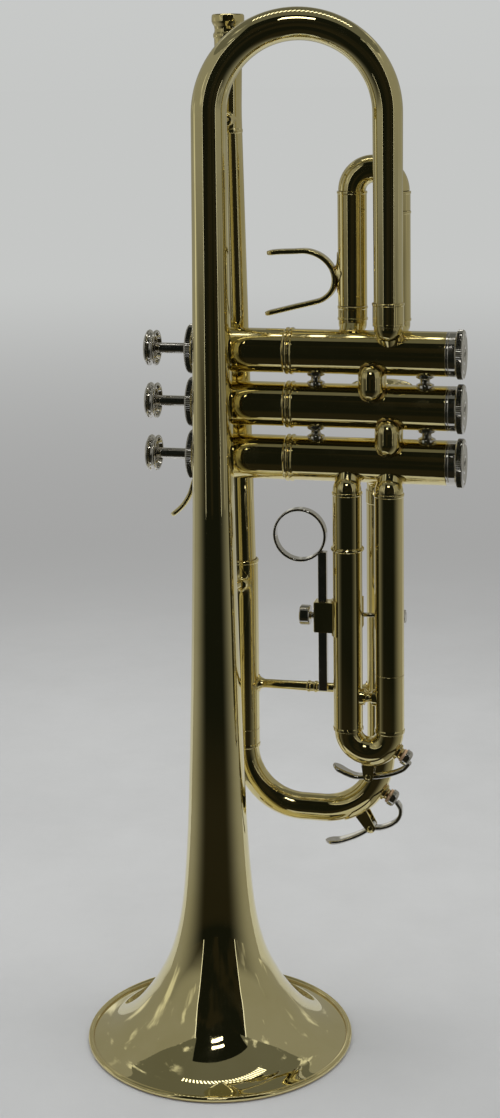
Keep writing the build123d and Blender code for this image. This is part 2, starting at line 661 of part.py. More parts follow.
def key_lever(key):
    """Finger blade, hub round the pin, and an arm that carries the cork's cup."""
    px, pz = key.pivot
    hub = rod((px, key.y - LEVER_HALF, pz), (px, key.y + LEVER_HALF, pz), 2.1)
    low = key.bend_r + CROOK_R + SPOUT_RISE + KEY_GAP + CORK_LENGTH * 0.45
    cup = rod(key.at(low), key.at(low + CUP_LENGTH), key.cup_r)
    end_x, _, end_z = key.at(low + CUP_LENGTH)
    blade = ribbon([*key.blade, (px - 1.2, pz - 0.6)], key.y, BLADE_T, 2.2)
    blade += ribbon(key.blade[:3], key.y, BLADE_T, 3.6)
    arm = ribbon([(px + 1.2, pz - 0.4), *key.arm, (end_x, end_z)], key.y, 2.0, 2.3)
    cup -= rod(key.at(low), key.at(low + CORK_LENGTH * 0.55 + 0.02), key.cup_r - 0.6)
    lever = blade + arm + hub + cup
    lever -= rod((px, key.y - 5, pz), (px, key.y + 5, pz), PIN_R + KEY_GAP)
    return lever


def key_cork(key):
    low = key.bend_r + CROOK_R + SPOUT_RISE + KEY_GAP
    return rod(key.at(low), key.at(low + CORK_LENGTH), key.cup_r - 0.62)


# ================================================================ first slide
def first_fixed_tubes():
    """Left: an inner tube on a stub. Right: an outer tube with an end ring."""
    left, right = FIRST_X
    base = FIRST_LINE_Z
    stub = pipe((left, FIRST_Y, base), (left, FIRST_Y, FIRST_STUB_Z), OUTER_R, INNER_BORE_R)
    stub += pipe((left, FIRST_Y, base), (left, FIRST_Y, FIRST_OUTER_Z), INNER_R, INNER_BORE_R)
    stub += pipe((left, FIRST_Y, FIRST_STUB_Z - 1.3), (left, FIRST_Y, FIRST_STUB_Z), 7.0, 6.0)
    outer = pipe((right, FIRST_Y, base), (right, FIRST_Y, FIRST_OUTER_Z), OUTER_R, OUTER_BORE_R)
    ring_low = FIRST_OUTER_Z - 1.4
    outer += pipe((right, FIRST_Y, ring_low), (right, FIRST_Y, FIRST_OUTER_Z), 6.95, 6.5)
    return group([stub, outer])


def first_crook():
    """U bend, with the moving inner tube and its ferrule on the right leg."""
    left, right = FIRST_X
    middle = (left + right) / 2
    crook = bend((middle, FIRST_Y, FIRST_FERRULE_Z), (left, FIRST_Y, FIRST_FERRULE_Z), (0, 1, 0),
                 CROOK_R, CROOK_BORE_R, 180)
    inner = pipe((right, FIRST_Y, FIRST_LINE_Z + 2), (right, FIRST_Y, FIRST_FERRULE_Z),
                 INNER_R, INNER_BORE_R)
    ferrule = pipe((right, FIRST_Y, FIRST_OUTER_Z + SLIDE_GAP),
                   (right, FIRST_Y, FIRST_FERRULE_Z), OUTER_R, INNER_R)
    ferrule += pipe((right, FIRST_Y, FIRST_FERRULE_Z - 1.2), (right, FIRST_Y, FIRST_FERRULE_Z),
                    FERRULE_R, INNER_R)
    return crook + inner + ferrule


def first_sleeve():
    """Moving outer tube of the left leg, which carries the thumb saddle."""
    left = FIRST_X[0]
    low = FIRST_STUB_Z + SLIDE_GAP
    sleeve = pipe((left, FIRST_Y, low), (left, FIRST_Y, FIRST_FERRULE_Z), OUTER_R, OUTER_BORE_R)
    sleeve += pipe((left, FIRST_Y, FIRST_FERRULE_Z - 1.2), (left, FIRST_Y, FIRST_FERRULE_Z),
                   FERRULE_R, OUTER_BORE_R)
    return sleeve


SADDLE_PATH = (
    (19.6, 364.2), (25.1, 364.8), (32.1, 365.1), (39.1, 365.2), (45.3, 362.8), (49.8, 358.2),
    (51.4, 352.5), (50.0, 347.1), (45.6, 343.1), (39.1, 341.1), (32.1, 339.4), (25.1, 337.6),
    (18.6, 336.0),
)


def thumb_saddle():
    """Open U strap on a leaf-shaped plate."""
    strap = ribbon(SADDLE_PATH, FIRST_Y, STRAP_T, 3.5)
    left = FIRST_X[0]
    foot = diamond_foot(left, FIRST_Y, 355.6, OUTER_R, (-1, 0, 0), 9.5, 6.2)
    post = rod((51.0, FIRST_Y, 353.6), (left, FIRST_Y, 353.6), 2.2)
    post -= rod((left, FIRST_Y, 340), (left, FIRST_Y, 370), OUTER_R)
    return strap + post + foot


# ================================================================ second slide
def second_fixed_tubes():
    parts = []
    for x in SECOND_X:
        base, end = valve_axis(2, x), (x, SECOND_OUTER_Y, VALVE_Z[2])
        tube = pipe(base, end, OUTER_R, OUTER_BORE_R)
        tube += pipe((x, SECOND_OUTER_Y - 1.4, VALVE_Z[2]), end, 6.95, 6.5)
        parts.append(tube - solid_casing(2))
    return group(parts)


def second_slide():
    """Short U slide that is pulled straight out, away from the valves."""
    left, right = SECOND_X
    z = VALVE_Z[2]
    middle = (left + right) / 2
    slide = bend((middle, SECOND_FERRULE_Y, z), (left, SECOND_FERRULE_Y, z), (0, 0, -1),
                 CROOK_R, CROOK_BORE_R, 180)
    for x in SECOND_X:
        slide += pipe((x, VALVE_Y + 14.5, z), (x, SECOND_FERRULE_Y, z), INNER_R, INNER_BORE_R)
        slide += pipe((x, SECOND_OUTER_Y + SLIDE_GAP, z), (x, SECOND_FERRULE_Y, z),
                      OUTER_R, INNER_R)
        slide += pipe((x, SECOND_FERRULE_Y - 1.2, z), (x, SECOND_FERRULE_Y, z),
                      FERRULE_R, INNER_R)
    return slide


def pull_knob():
    """Small turned knob on the second slide's bend."""
    left, right = SECOND_X
    x, z = (left + right) / 2, VALVE_Z[2]
    tip = SECOND_FERRULE_Y + (right - left) / 2 + CROOK_R
    points = [
        (0, -1.5), (3.4, -1.5), (3.2, 0.6), (1.9, 1.4), (1.7, 3.4), (2.6, 4.4), (3.6, 5.2),
        (3.9, 6.4), (3.4, 7.6), (2.0, 8.3), (0, 8.5)]
    knob = turned_z(points, 0, 0)
    knob = Pos(x, tip, z) * (Rot(-90, 0, 0) * knob)
    crook = bend((x, SECOND_FERRULE_Y, z), (left, SECOND_FERRULE_Y, z), (0, 0, -1),
                 CROOK_R, 0, 180)
    return knob - crook


# ================================================================ third slide
def third_fixed_tubes():
    """Left: a short outer tube and a long inner tube. Right: a long outer tube."""
    left, right = THIRD_X
    top = THIRD_LINE_Z
    stub = pipe((left, THIRD_Y, THIRD_RING_Z), (left, THIRD_Y, top), OUTER_R, INNER_BORE_R)
    stub += pipe((left, THIRD_Y, THIRD_FERRULE_Z + 4), (left, THIRD_Y, top), INNER_R, INNER_BORE_R)
    stub += turned_z([
        (OUTER_R - 0.2, THIRD_RING_Z), (7.35, THIRD_RING_Z), (7.65, THIRD_RING_Z + 0.8),
        (7.35, THIRD_RING_Z + 1.6), (OUTER_R - 0.2, THIRD_RING_Z + 1.6)], left, THIRD_Y)
    outer = pipe((right, THIRD_Y, THIRD_OUTER_Z), (right, THIRD_Y, top), OUTER_R, OUTER_BORE_R)
    for x, tube_top in ((left, top), (right, top)):
        collar = pipe((x, THIRD_Y, tube_top - 1.4), (x, THIRD_Y, tube_top), FERRULE_R, OUTER_R - 0.2)
        if x == left:
            stub += collar
        else:
            outer += collar
    return group([stub, outer])


def third_sleeve():
    """Moving outer tube of the left leg."""
    left = THIRD_X[0]
    high = THIRD_RING_Z - SLIDE_GAP
    sleeve = pipe((left, THIRD_Y, THIRD_FERRULE_Z), (left, THIRD_Y, high), OUTER_R, OUTER_BORE_R)
    sleeve += pipe((left, THIRD_Y, THIRD_FERRULE_Z), (left, THIRD_Y, THIRD_FERRULE_Z + 1.2),
                   FERRULE_R, OUTER_R - 0.2)
    return sleeve


def third_inner():
    """Moving inner tube of the right leg, with its ferrule."""
    return slide_leg(THIRD_X[1], THIRD_LINE_Z - 4, THIRD_OUTER_Z - SLIDE_GAP,
                     THIRD_FERRULE_Z, THIRD_Y)


def third_crook():
    crook = bend((THIRD_MID_X, THIRD_Y, THIRD_BOW_Z), (THIRD_X[0], THIRD_Y, THIRD_BOW_Z), (0, -1, 0),
                 CROOK_R, CROOK_BORE_R, 180)
    return crook - rod(THIRD_KEY.at(THIRD_BOW_R), THIRD_KEY.at(THIRD_BOW_R + 9), SPOUT_BORE_R)


def third_brace():
    """Waisted pillar between the two legs."""
    z = THIRD_BRACE_Z
    left, right = THIRD_X[0] + OUTER_R - 1.5, THIRD_X[1] - OUTER_R + 1.5
    post = turned_x([
        (left, 0), (left, 3.9), (left + 2.8, 3.9), (THIRD_MID_X - 0.7, 2.1),
        (THIRD_MID_X + 0.7, 2.1), (right - 2.8, 3.9), (right, 3.9), (right, 0)], THIRD_Y, z)
    for x in THIRD_X:
        post -= rod((x, THIRD_Y, z - 10), (x, THIRD_Y, z + 10), OUTER_R)
    return post


def ring_clamp():
    """Block with a square way for the rod, on a curved plate."""
    left = THIRD_X[0]
    z = CLAMP_Z
    clamp = block((ROD_X - 3.9, left - OUTER_R + 1.5), (THIRD_Y - 3.6, THIRD_Y + 3.6), z)
    clamp += diamond_plate(left, z)
    clamp -= rod((left, THIRD_Y, z[0] - 3), (left, THIRD_Y, z[1] + 3), OUTER_R)
    way = ROD_SIDE / 2 + 0.05
    clamp -= block((ROD_X - way, ROD_X + way), (THIRD_Y - way, THIRD_Y + way), (z[0] - 3, z[1] + 3))
    clamp -= rod((ROD_X - 6, THIRD_Y, SCREW_Z), (ROD_X, THIRD_Y, SCREW_Z), SCREW_R + 0.05)
    return clamp


def diamond_plate(left, z):
    """Curved plate that wraps the sleeve behind the clamp block."""
    shell = pipe((left, THIRD_Y, z[0] - 1.2), (left, THIRD_Y, z[1] + 1.2), OUTER_R + 0.8, OUTER_R)
    return shell & block((left - 9, LYRE_X[0] - 0.1), (THIRD_Y - 7, THIRD_Y + 7), (z[0] - 2, z[1] + 2))


def finger_ring():
    """Adjustable ring on a square rod."""
    x, z = RING_CENTER
    near, far = (x, THIRD_Y - RING_WIDTH / 2, z), (x, THIRD_Y + RING_WIDTH / 2, z)
    ring = rod(near, far, RING_R[1]) - rod(near, far, RING_R[0])
    side = ROD_SIDE / 2
    bar = block((ROD_X - side, ROD_X + side), (THIRD_Y - side, THIRD_Y + side), ROD_Z)
    bar -= rod(near, far, (RING_R[0] + RING_R[1]) / 2)
    return ring + bar


def ring_screw():
    head = (37.4, 42.1)
    tip = ROD_X - ROD_SIDE / 2 - 0.05
    return turned_x([
        (head[0], 0), (head[0], 4.0), (head[0] + 0.6, 4.65), (head[1] - 0.6, 4.65),
        (head[1], 4.0), (head[1], SCREW_R), (tip, SCREW_R), (tip, 0)], THIRD_Y, SCREW_Z)


def lyre_holder():
    """Block with a flat socket for a music lyre, behind the left leg."""
    left = THIRD_X[0]
    z = (CLAMP_Z[0] - 0.8, CLAMP_Z[1] - 0.6)
    holder = block(LYRE_X, (THIRD_Y + 3.0, LYRE_Y + 4.2), z)
    holder -= rod((left, THIRD_Y, z[0] - 3), (left, THIRD_Y, z[1] + 3), OUTER_R)
    holder -= block(LYRE_SOCKET, (LYRE_Y - 2.4, LYRE_Y + 2.4), (z[0] - 3, z[1] + 3))
    holder -= rod((LYRE_SOCKET[1] - 1, LYRE_Y, SCREW_Z - 1.4),
                  (LYRE_X[1] + 2, LYRE_Y, SCREW_Z - 1.4), 1.1)
    return holder


def lyre_screw():
    """Long thumbscrew that passes behind the right leg."""
    head = (79.0, 84.6)
    return turned_x([
        (LYRE_SOCKET[1] + 0.2, 0), (LYRE_SOCKET[1] + 0.2, 1.05), (head[0], 1.05),
        (head[0], 2.8), (head[0] + 0.6, 3.3), (head[1] - 0.6, 3.3), (head[1], 2.8),
        (head[1], 0)], LYRE_Y, SCREW_Z - 1.4)


# ================================================================ braces and pinky hook
def bell_brace(z, bell_r, tube_x, tube_r, long, upper):
    """Stay between the bell and the lead tube, with a leaf foot on the tube."""
    start, end = (0, bell_r - 1.5, z), (tube_x, LEAD_Y - tube_r + 1.0, z)
    stay = rod(start, end, 2.0)
    stay += diamond_foot(tube_x, LEAD_Y, z, tube_r, (0, -1, 0), long, 5.6, upper)
    stay += diamond_foot(0, 0, z, bell_r, (0, 1, 0), min(long, 6.0), 5.6, min(upper, 6.0))
    stay -= rod((tube_x, LEAD_Y, z - 60), (tube_x, LEAD_Y, z + 60), tube_r)
    return stay - stem_section(0)


def bell_braces():
    upper = bell_brace(425.5, 8.05, RECEIVER_X, 5.95, 3.8, 4.8)
    lower = bell_brace(207.0, 10.5, MAIN_X[0], OUTER_R, 27.0, 7.5)
    return group([upper, lower])


HOOK_PATH = (
    (-2.2, 263.5), (-6.0, 264.8), (-11.0, 264.0), (-15.6, 260.4), (-18.4, 254.6), (-20.4, 248.4),
    (-23.6, 243.0), (-27.4, 239.2), (-30.4, 237.0),
)


def pinky_hook():
    strap = ribbon(HOOK_PATH, LEAD_Y, STRAP_T, 4.0)
    x, z = lead_x(263.5), 262.0
    foot = diamond_foot(x, LEAD_Y, z, 5.7, (-1, 0, 0), 10.0, 5.0)
    return strap + foot - lead_cone(*LEAD_OUTSIDE)


# ================================================================ all nodes
def build():
    nodes = {
        "bell_flare": bell_flare(),
        "bell_rim": bell_rim(),
        "bell_bow": bell_bow(),
        "tail_ferrule": tail_ferrule(),
        "port_knuckles": port_knuckles(),
        "crossover_knuckles": crossover_knuckles(),
        "receiver": receiver(),
        "leadpipe": leadpipe(),
        "main_upper_outer": main_upper_outer(),
        "main_lower_outer": main_lower_outer(),
        "main_brace": main_brace(),
        "bell_braces": bell_braces(),
        "pinky_hook": pinky_hook(),
        "casing_posts": casing_posts(),
        "top_caps": group(top_cap(n) for n in VALVE_Z),
        "bottom_caps": group(bottom_cap(n) for n in VALVE_Z),
        "valve_guides": group(valve_guide(n) for n in VALVE_Z),
        "first_fixed_tubes": first_fixed_tubes(),
        "second_fixed_tubes": second_fixed_tubes(),
        "third_fixed_tubes": third_fixed_tubes(),
        "main_bow": main_bow(),
        "main_legs": main_legs(),
        "first_crook": first_crook(),
        "first_sleeve": first_sleeve(),
        "thumb_saddle": thumb_saddle(),
        "second_slide": second_slide(),
        "pull_knob": pull_knob(),
        "third_sleeve": third_sleeve(),
        "third_inner": third_inner(),
        "third_crook": third_crook(),
        "third_brace": third_brace(),
        "ring_clamp": ring_clamp(),
        "finger_ring": finger_ring(),
        "ring_screw": ring_screw(),
        "lyre_holder": lyre_holder(),
        "lyre_screw": lyre_screw(),
    }
    for name, key in (("main", MAIN_KEY), ("third", THIRD_KEY)):
        nodes[f"{name}_key_saddle"] = key_saddle(key)
        nodes[f"{name}_key_lever"] = key_lever(key)
        nodes[f"{name}_key_cork"] = key_cork(key)
    for n in VALVE_Z:
        nodes[f"valve_casing_{n}"] = valve_casing(n)
        nodes[f"piston_{n}"] = piston(n)
        nodes[f"valve_stem_{n}"] = valve_stem(n)
        nodes[f"finger_button_{n}"] = finger_button(n)
        nodes[f"valve_felt_{n}"] = valve_felt(n)
        nodes[f"valve_spring_{n}"] = valve_spring(n)
    return nodes


os.makedirs("parts", exist_ok=True)
for node, shape in build().items():
    export_step(shape, f"parts/{node}.step")
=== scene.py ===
"""Looks of the trumpet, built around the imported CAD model.

Lengths in the mesh code are millimetres in the CAD frame: +Z up the bell, +X towards the bottom
valve caps, +Y towards the leadpipe. Shape.piece() turns them into metres.
"""

import json
from math import atan2, cos, pi, radians, sin, sqrt

import bmesh
import bpy
import numpy as np
from mathutils import Matrix, Vector


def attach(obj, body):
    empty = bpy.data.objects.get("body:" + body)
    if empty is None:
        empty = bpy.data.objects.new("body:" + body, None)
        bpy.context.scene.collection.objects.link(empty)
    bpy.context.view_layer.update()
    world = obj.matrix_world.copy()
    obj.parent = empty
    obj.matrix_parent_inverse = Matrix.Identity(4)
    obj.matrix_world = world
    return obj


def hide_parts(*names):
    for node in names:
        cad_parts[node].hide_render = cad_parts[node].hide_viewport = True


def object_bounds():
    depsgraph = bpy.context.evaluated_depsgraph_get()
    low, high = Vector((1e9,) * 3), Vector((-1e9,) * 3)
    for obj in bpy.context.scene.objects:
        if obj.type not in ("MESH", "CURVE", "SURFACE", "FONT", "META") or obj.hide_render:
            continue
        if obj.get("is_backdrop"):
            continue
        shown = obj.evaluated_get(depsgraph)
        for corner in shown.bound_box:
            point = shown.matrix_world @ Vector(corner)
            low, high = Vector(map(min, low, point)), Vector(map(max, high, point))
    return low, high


MM = 0.001
AROUND = 96             # facets round a tube
BEAD_R = 0.3            # solder bead
BEAD_FACETS = 10
FOOT_FACETS = 72
SHARP = radians(38)     # angle above which an edge is shaded sharp
X, Y, Z = (1, 0, 0), (0, 1, 0), (0, 0, 1)
BODY, BRASS = "trumpet_body", "brass_lacquer"

# ================================ driving sizes, as in the CAD
FLARE = ((1.2, 59.4), (4.0, 51.0), (10.0, 42.6), (18.0, 35.3), (28.0, 28.6), (42.0, 21.9),
         (60.0, 17.4), (85.0, 14.8), (120.0, 13.0), (180.0, 11.15), (260.0, 9.5),
         (345.0, 8.57), (428.5, 8.04))
BELL_WALL = 0.6
RIM_R = 61.5
RIM_BEAD_R = 1.35
BOW_R = 39.72
TAIL_Y = 12.5
BOW_TURN = atan2(TAIL_Y, 2 * BOW_R)
TAIL = (2 * BOW_R * cos(BOW_TURN), 2 * BOW_R * sin(BOW_TURN))
TAIL_TOP_R = 6.8
TAIL_R = 6.5
TAIL_STRAIGHT_Z = 352.0
TAIL_END_Z = 338.8
TAIL_FERRULE_Z = (333.5, 344.1)

INNER_BORE_R = 5.83
INNER_R = 6.2
OUTER_BORE_R = 6.25
OUTER_R = 6.7
CROOK_R = 6.35
CROOK_BORE_R = 5.8
FERRULE_R = 6.95
SLIDE_GAP = 0.1
KEY_GAP = 0.05
STRAP_T = 2.5           # thickness of the thumb saddle and the pinky hook
BLADE_T = 2.0
ARM_T = 2.0

VALVE_Y = 20.0
WALL = 0.05             # how deep a fitted end or flange sinks into the wall it meets
VALVE_PITCH = 24.75
VALVE_Z = {1: 320.2, 2: 320.2 - VALVE_PITCH, 3: 320.2 - 2 * VALVE_PITCH}
CASING_R = 10.2
CASING_BORE_R = (8.95, 8.5)     # above and below the guide's step
THREAD_R = 9.6
CASING_X = (-14.0, 108.6)
BEAD_XS = (30.9, 33.0)
STEM_R = 2.5
BUTTON_X = -33.0
CAP_KNURL = (84, 0.28)      # teeth and depth
SCREW_KNURL = (30, 0.3)

LEAD_Y = 38.0
RECEIVER_X = 0.1
RECEIVER_TOP_Z = 474.0
RECEIVER_END_Z = 419.0
LEAD_X_LOW = 4.7
LEAD_END_Z = 212.0
MAIN_X = (4.9, 70.6)
MAIN_OUTER_Z = (135.0, 217.5)
MAIN_BOW_R = 28.0
MAIN_BOW_Z = 126.0
MAIN_KNUCKLE_Z = VALVE_Z[3] - 12.0
MAIN_BRACE_Z = 157.0
BELL_BRACE_Z = (425.5, 207.0)

FIRST_Y = 28.5
FIRST_X = (59.5, 79.5)
FIRST_LINE_Z = 334.0
FIRST_STUB_Z = 340.5
FIRST_OUTER_Z = 384.1
FIRST_BOW_Z = 393.1
SECOND_X = (59.5, 79.5)
SECOND_OUTER_Y = 46.0
SECOND_BOW_Y = 51.0
THIRD_Y = 12.5
THIRD_X = (59.3, 78.5)
THIRD_LINE_Z = 257.6
THIRD_RING_Z = 230.3
THIRD_OUTER_Z = 173.9
THIRD_BOW_Z = 146.5
THIRD_BRACE_Z = 162.2

RING_CENTER = (37.5, 236.7)
RING_R = (11.1, 12.3)
ROD_X = 47.9
ROD_HALF = 2
ROD_Z = (164.3, 229.2)
CLAMP_Z = (192.0, 206.2)
SCREW_Z = 199.1
LYRE_Y = THIRD_Y + 10.2
RING_SCREW_HEAD = (37.4, 42.1)
LYRE_SCREW_HEAD = (79.0, 84.6)
LYRE_X = (55.2, 64.4)
LYRE_SOCKET = (58.0, 61.6)


# ================================ mesh tools
def unit(v):
    v = np.asarray(v, float)
    return v / np.linalg.norm(v)


def across(axis):
    """Two unit vectors that complete a right-handed set with axis."""
    axis = unit(axis)
    helper = np.array((0.0, 0.0, 1.0)) if abs(axis[2]) < 0.9 else np.array((1.0, 0.0, 0.0))
    u = unit(np.cross(helper, axis))
    return u, np.cross(axis, u)


def rounded(outline, radius, closed=True, steps=4):
    """Outline whose corners are arcs, no larger than 0.4 of the sides that they join."""
    points = [np.array(p, float) for p in outline]
    result = []
    count = len(points)
    for i, corner in enumerate(points):
        if not closed and i in (0, count - 1):
            result.append(corner)
            continue
        back, ahead = points[i - 1] - corner, points[(i + 1) % count] - corner
        a, b = np.linalg.norm(back), np.linalg.norm(ahead)
        back, ahead = back / a, ahead / b
        half = np.arccos(np.clip(back @ ahead, -1, 1)) / 2
        if half > pi / 2 - 0.05 or half < 0.02:
            result.append(corner)
            continue
        cut = min(radius / np.tan(half), 0.4 * a, 0.4 * b)
        start, end = corner + back * cut, corner + ahead * cut
        for k in range(steps + 1):
            t = k / steps
            result.append((1 - t) ** 2 * start + 2 * t * (1 - t) * corner + t * t * end)
    return np.array(result)


def curve(points, per_span=8):
    """Catmull-Rom curve through points of any dimension."""
    p = np.array(points, float)
    p = np.vstack([2 * p[0] - p[1], p, 2 * p[-1] - p[-2]])
    result = []
    for i in range(1, len(p) - 2):
        for k in range(per_span):
            t = k / per_span
            result.append(0.5 * (2 * p[i] + (p[i + 1] - p[i - 1]) * t
                                 + (2 * p[i - 1] - 5 * p[i] + 4 * p[i + 1] - p[i + 2]) * t ** 2
                                 + (3 * p[i] - p[i - 1] - 3 * p[i + 1] + p[i + 2]) * t ** 3))
    result.append(p[-2])
    return np.array(result)


def arc(center, radius, start, end, u, v, steps=32):
    """Points of an arc in the plane of u and v, from start to end degrees."""
    angles = np.radians(np.linspace(start, end, steps + 1))
    center, u, v = (np.asarray(a, float) for a in (center, u, v))
    return [center + radius * (cos(a) * u + sin(a) * v) for a in angles]


def circle(radius, count, power=1.0):
    """Closed ring of (a, b) pairs; power below 1 squares it off."""
    angles = np.linspace(0, 2 * pi, count, endpoint=False)
    c, s = np.cos(angles), np.sin(angles)
    a = np.sign(c) * np.abs(c) ** power * radius
    b = np.sign(s) * np.abs(s) ** power * radius
    return np.stack([a, b], 1)


def placed(name, data):
    """New object in the scene."""
    made = bpy.data.objects.new(name, data)
    bpy.context.scene.collection.objects.link(made)
    return made


class Shape:
    """Rings of points that are joined into closed shells, and then made into one piece."""

    def __init__(self):
        self.points = []
        self.faces = []
        self.count = 0

    def rings(self, rows, wrap=False):
        """Join ring to ring; wrap joins the last to the first, else both ends are closed."""
        rows = np.asarray(rows, float)
        if not wrap:
            first = np.repeat(rows[:1].mean(1, keepdims=True), rows.shape[1], 1)
            last = np.repeat(rows[-1:].mean(1, keepdims=True), rows.shape[1], 1)
            rows = np.concatenate([first, rows, last])
        n, m = rows.shape[:2]
        index = np.arange(n * m).reshape(n, m) + self.count
        if wrap:
            index = np.vstack([index, index[:1]])
        low, high = index[:-1], index[1:]
        quads = np.stack([low, np.roll(low, -1, 1), np.roll(high, -1, 1), high], 2)
        self.points.append(rows.reshape(-1, 3))
        self.faces.append(quads.reshape(-1, 4))
        self.count += n * m
        return self

    def lathe(self, outline, origin, axis, around=AROUND, wrap=True, knurl=None, fillet=0.25):
        """Turn (radius, distance) corners about an axis. knurl is (from, to, teeth, depth)."""
        outline = rounded(outline, fillet, closed=wrap)
        u, v = across(axis)
        axis = unit(axis)
        if knurl:
            around = 4 * knurl[2]
        angles = np.linspace(0, 2 * pi, around, endpoint=False)
        spokes = np.outer(np.cos(angles), u) + np.outer(np.sin(angles), v)
        rows = []
        for r, h in outline:
            reach = np.full(around, r)
            if knurl and knurl[0] <= h <= knurl[1]:
                reach = r - knurl[3] * (0.5 + 0.5 * np.cos(knurl[2] * angles))
            rows.append(np.asarray(origin) + axis * h + spokes * reach[:, None])
        return self.rings(rows, wrap)

    def tube(self, path, radii, normal, bore=None, around=AROUND, ends=(None, None)):
        """Round tube along a plane path; ends are functions that fit an end ring to a surface."""
        path = np.asarray(path, float)
        outer = self.hoops(path, radii, normal, around, ends)
        if bore is None:
            return self.rings(outer)
        inner = self.hoops(path, bore, normal, around, ends)
        return self.rings(outer + inner[::-1], wrap=True)

    @staticmethod
    def hoops(path, radii, normal, around, ends):
        """Rings round a plane path, square to it."""
        normal = unit(normal)
        radii = np.broadcast_to(np.asarray(radii, float), (len(path),))
        headings = np.gradient(path, axis=0)
        ring = circle(1.0, around)
        rows = []
        for center, heading, radius in zip(path, headings, radii):
            side = unit(np.cross(unit(heading), normal))
            rows.append(center + radius * (ring[:, :1] * side + ring[:, 1:] * normal))
        for place, fit in zip((0, -1), ends):
            if fit:
                rows[place] = fit(rows[place])
        return rows

    def bead(self, loop):
        """Thin solder bead along a closed loop of points."""
        loop = np.asarray(loop, float)
        ahead = np.roll(loop, -1, 0) - np.roll(loop, 1, 0)
        middle = loop.mean(0)
        rows = []
        for point, heading in zip(loop, ahead):
            heading = unit(heading)
            out = point - middle
            out = unit(out - heading * (out @ heading))
            side = np.cross(heading, out)
            ring = circle(BEAD_R, BEAD_FACETS)
            rows.append(point + ring[:, :1] * out + ring[:, 1:] * side)
        return self.rings(rows, wrap=True)

    def strap(self, path, half_widths, half_thickness, y, around=40, tip=3.0, tips=(True, True)):
        """Flat strap in the plane y, with (x, z) path points and rounded tips."""
        line = curve([(px, y, pz) for px, pz in path], 10)
        widths = curve([(w,) for w in half_widths], 10)[:, 0]
        steps = np.linalg.norm(np.diff(line, axis=0), axis=1)
        along = np.concatenate([[0], np.cumsum(steps)])
        fine = np.linspace(0, 1, 13) ** 1.6 * tip
        marks = along[(along > tip) & (along < along[-1] - tip)]
        marks = np.concatenate([fine, marks, along[-1] - fine[::-1]])
        rows = []
        for mark in marks:
            point = np.array([np.interp(mark, along, line[:, k]) for k in range(3)])
            near = np.array([np.interp(mark + 0.2, along, line[:, k]) for k in range(3)])
            far = np.array([np.interp(mark - 0.2, along, line[:, k]) for k in range(3)])
            heading = unit(near - far)
            up = np.array((-heading[2], 0, heading[0]))
            end = 1.0
            for share, round_it in zip((mark / tip, (along[-1] - mark) / tip), tips):
                if round_it and share < 1:
                    end = min(end, sqrt(max(1 - (1 - share) ** 2, 0.0009)))
            width = np.interp(mark, along, widths) * end
            ring = circle(1.0, around, power=0.5)
            thick = half_thickness * (0.45 + 0.55 * end)
            rows.append(point + ring[:, :1] * width * np.array((0, 1.0, 0))
                        + ring[:, 1:] * thick * up)
        return self.rings(rows)

    def prism(self, outline, low, high, u, v, w, hole=None, edge=0.3):
        """Block with a rounded outline in (u, v), from low to high along w, with an optional hole."""
        u, v, w = (np.asarray(a, float) for a in (u, v, w))

        def level(shape, h, inset):
            middle = shape.mean(0)
            out = shape - middle
            size = np.linalg.norm(out, axis=1, keepdims=True)
            flat = middle + out * (1 - inset / size)
            return flat[:, :1] * u + flat[:, 1:] * v + h * w

        steps = [(low, edge), (low + 0.3 * edge, 0.3 * edge), (low + edge, 0)]
        steps += [(high - edge, 0), (high - 0.3 * edge, 0.3 * edge), (high, edge)]
        rows = [level(outline, h, inset) for h, inset in steps]
        if hole is None:
            return self.rings(rows)
        rows += [level(hole, h, 0) for h in (high, low)]
        return self.rings(rows, wrap=True)

    def foot(self, center, tube_r, toward, half_width, up, down, boss, skin=0.6, power=1.12):
        """Kite-shaped flange that hugs an upright tube and swells into the stay on it."""
        toward = unit(toward)
        side = np.cross(toward, Z)
        angles = np.linspace(0, 2 * pi, FOOT_FACETS, endpoint=False)
        c, s = np.cos(angles), np.sin(angles)
        tall = np.where(s > 0, up, down)
        edge = (np.abs(c / half_width) ** power + np.abs(s / tall) ** power) ** (-1 / power)

        def level(distance, height):
            a, b = distance * c, distance * s
            reach = tube_r + np.full(FOOT_FACETS, height)
            turn = a / tube_r
            out = np.outer(np.cos(turn), toward) + np.outer(np.sin(turn), side)
            return np.asarray(center) + reach[:, None] * out + np.outer(b, Z)

        rows = [level(boss * 0.7, skin + 2.2)]
        for k in range(11):
            t = (k / 10) ** 1.4
            distance = boss + (edge * 0.98 - boss) * t
            swell = 2.0 * np.exp(-(distance - boss) / 0.9)
            rows.append(level(distance, skin * (1 - 0.35 * t ** 3) + swell * (1 - t)))
        rows += [level(edge, 0.12), level(edge, -0.25), level(edge * 0.5, -0.25)]
        return self.rings(rows)

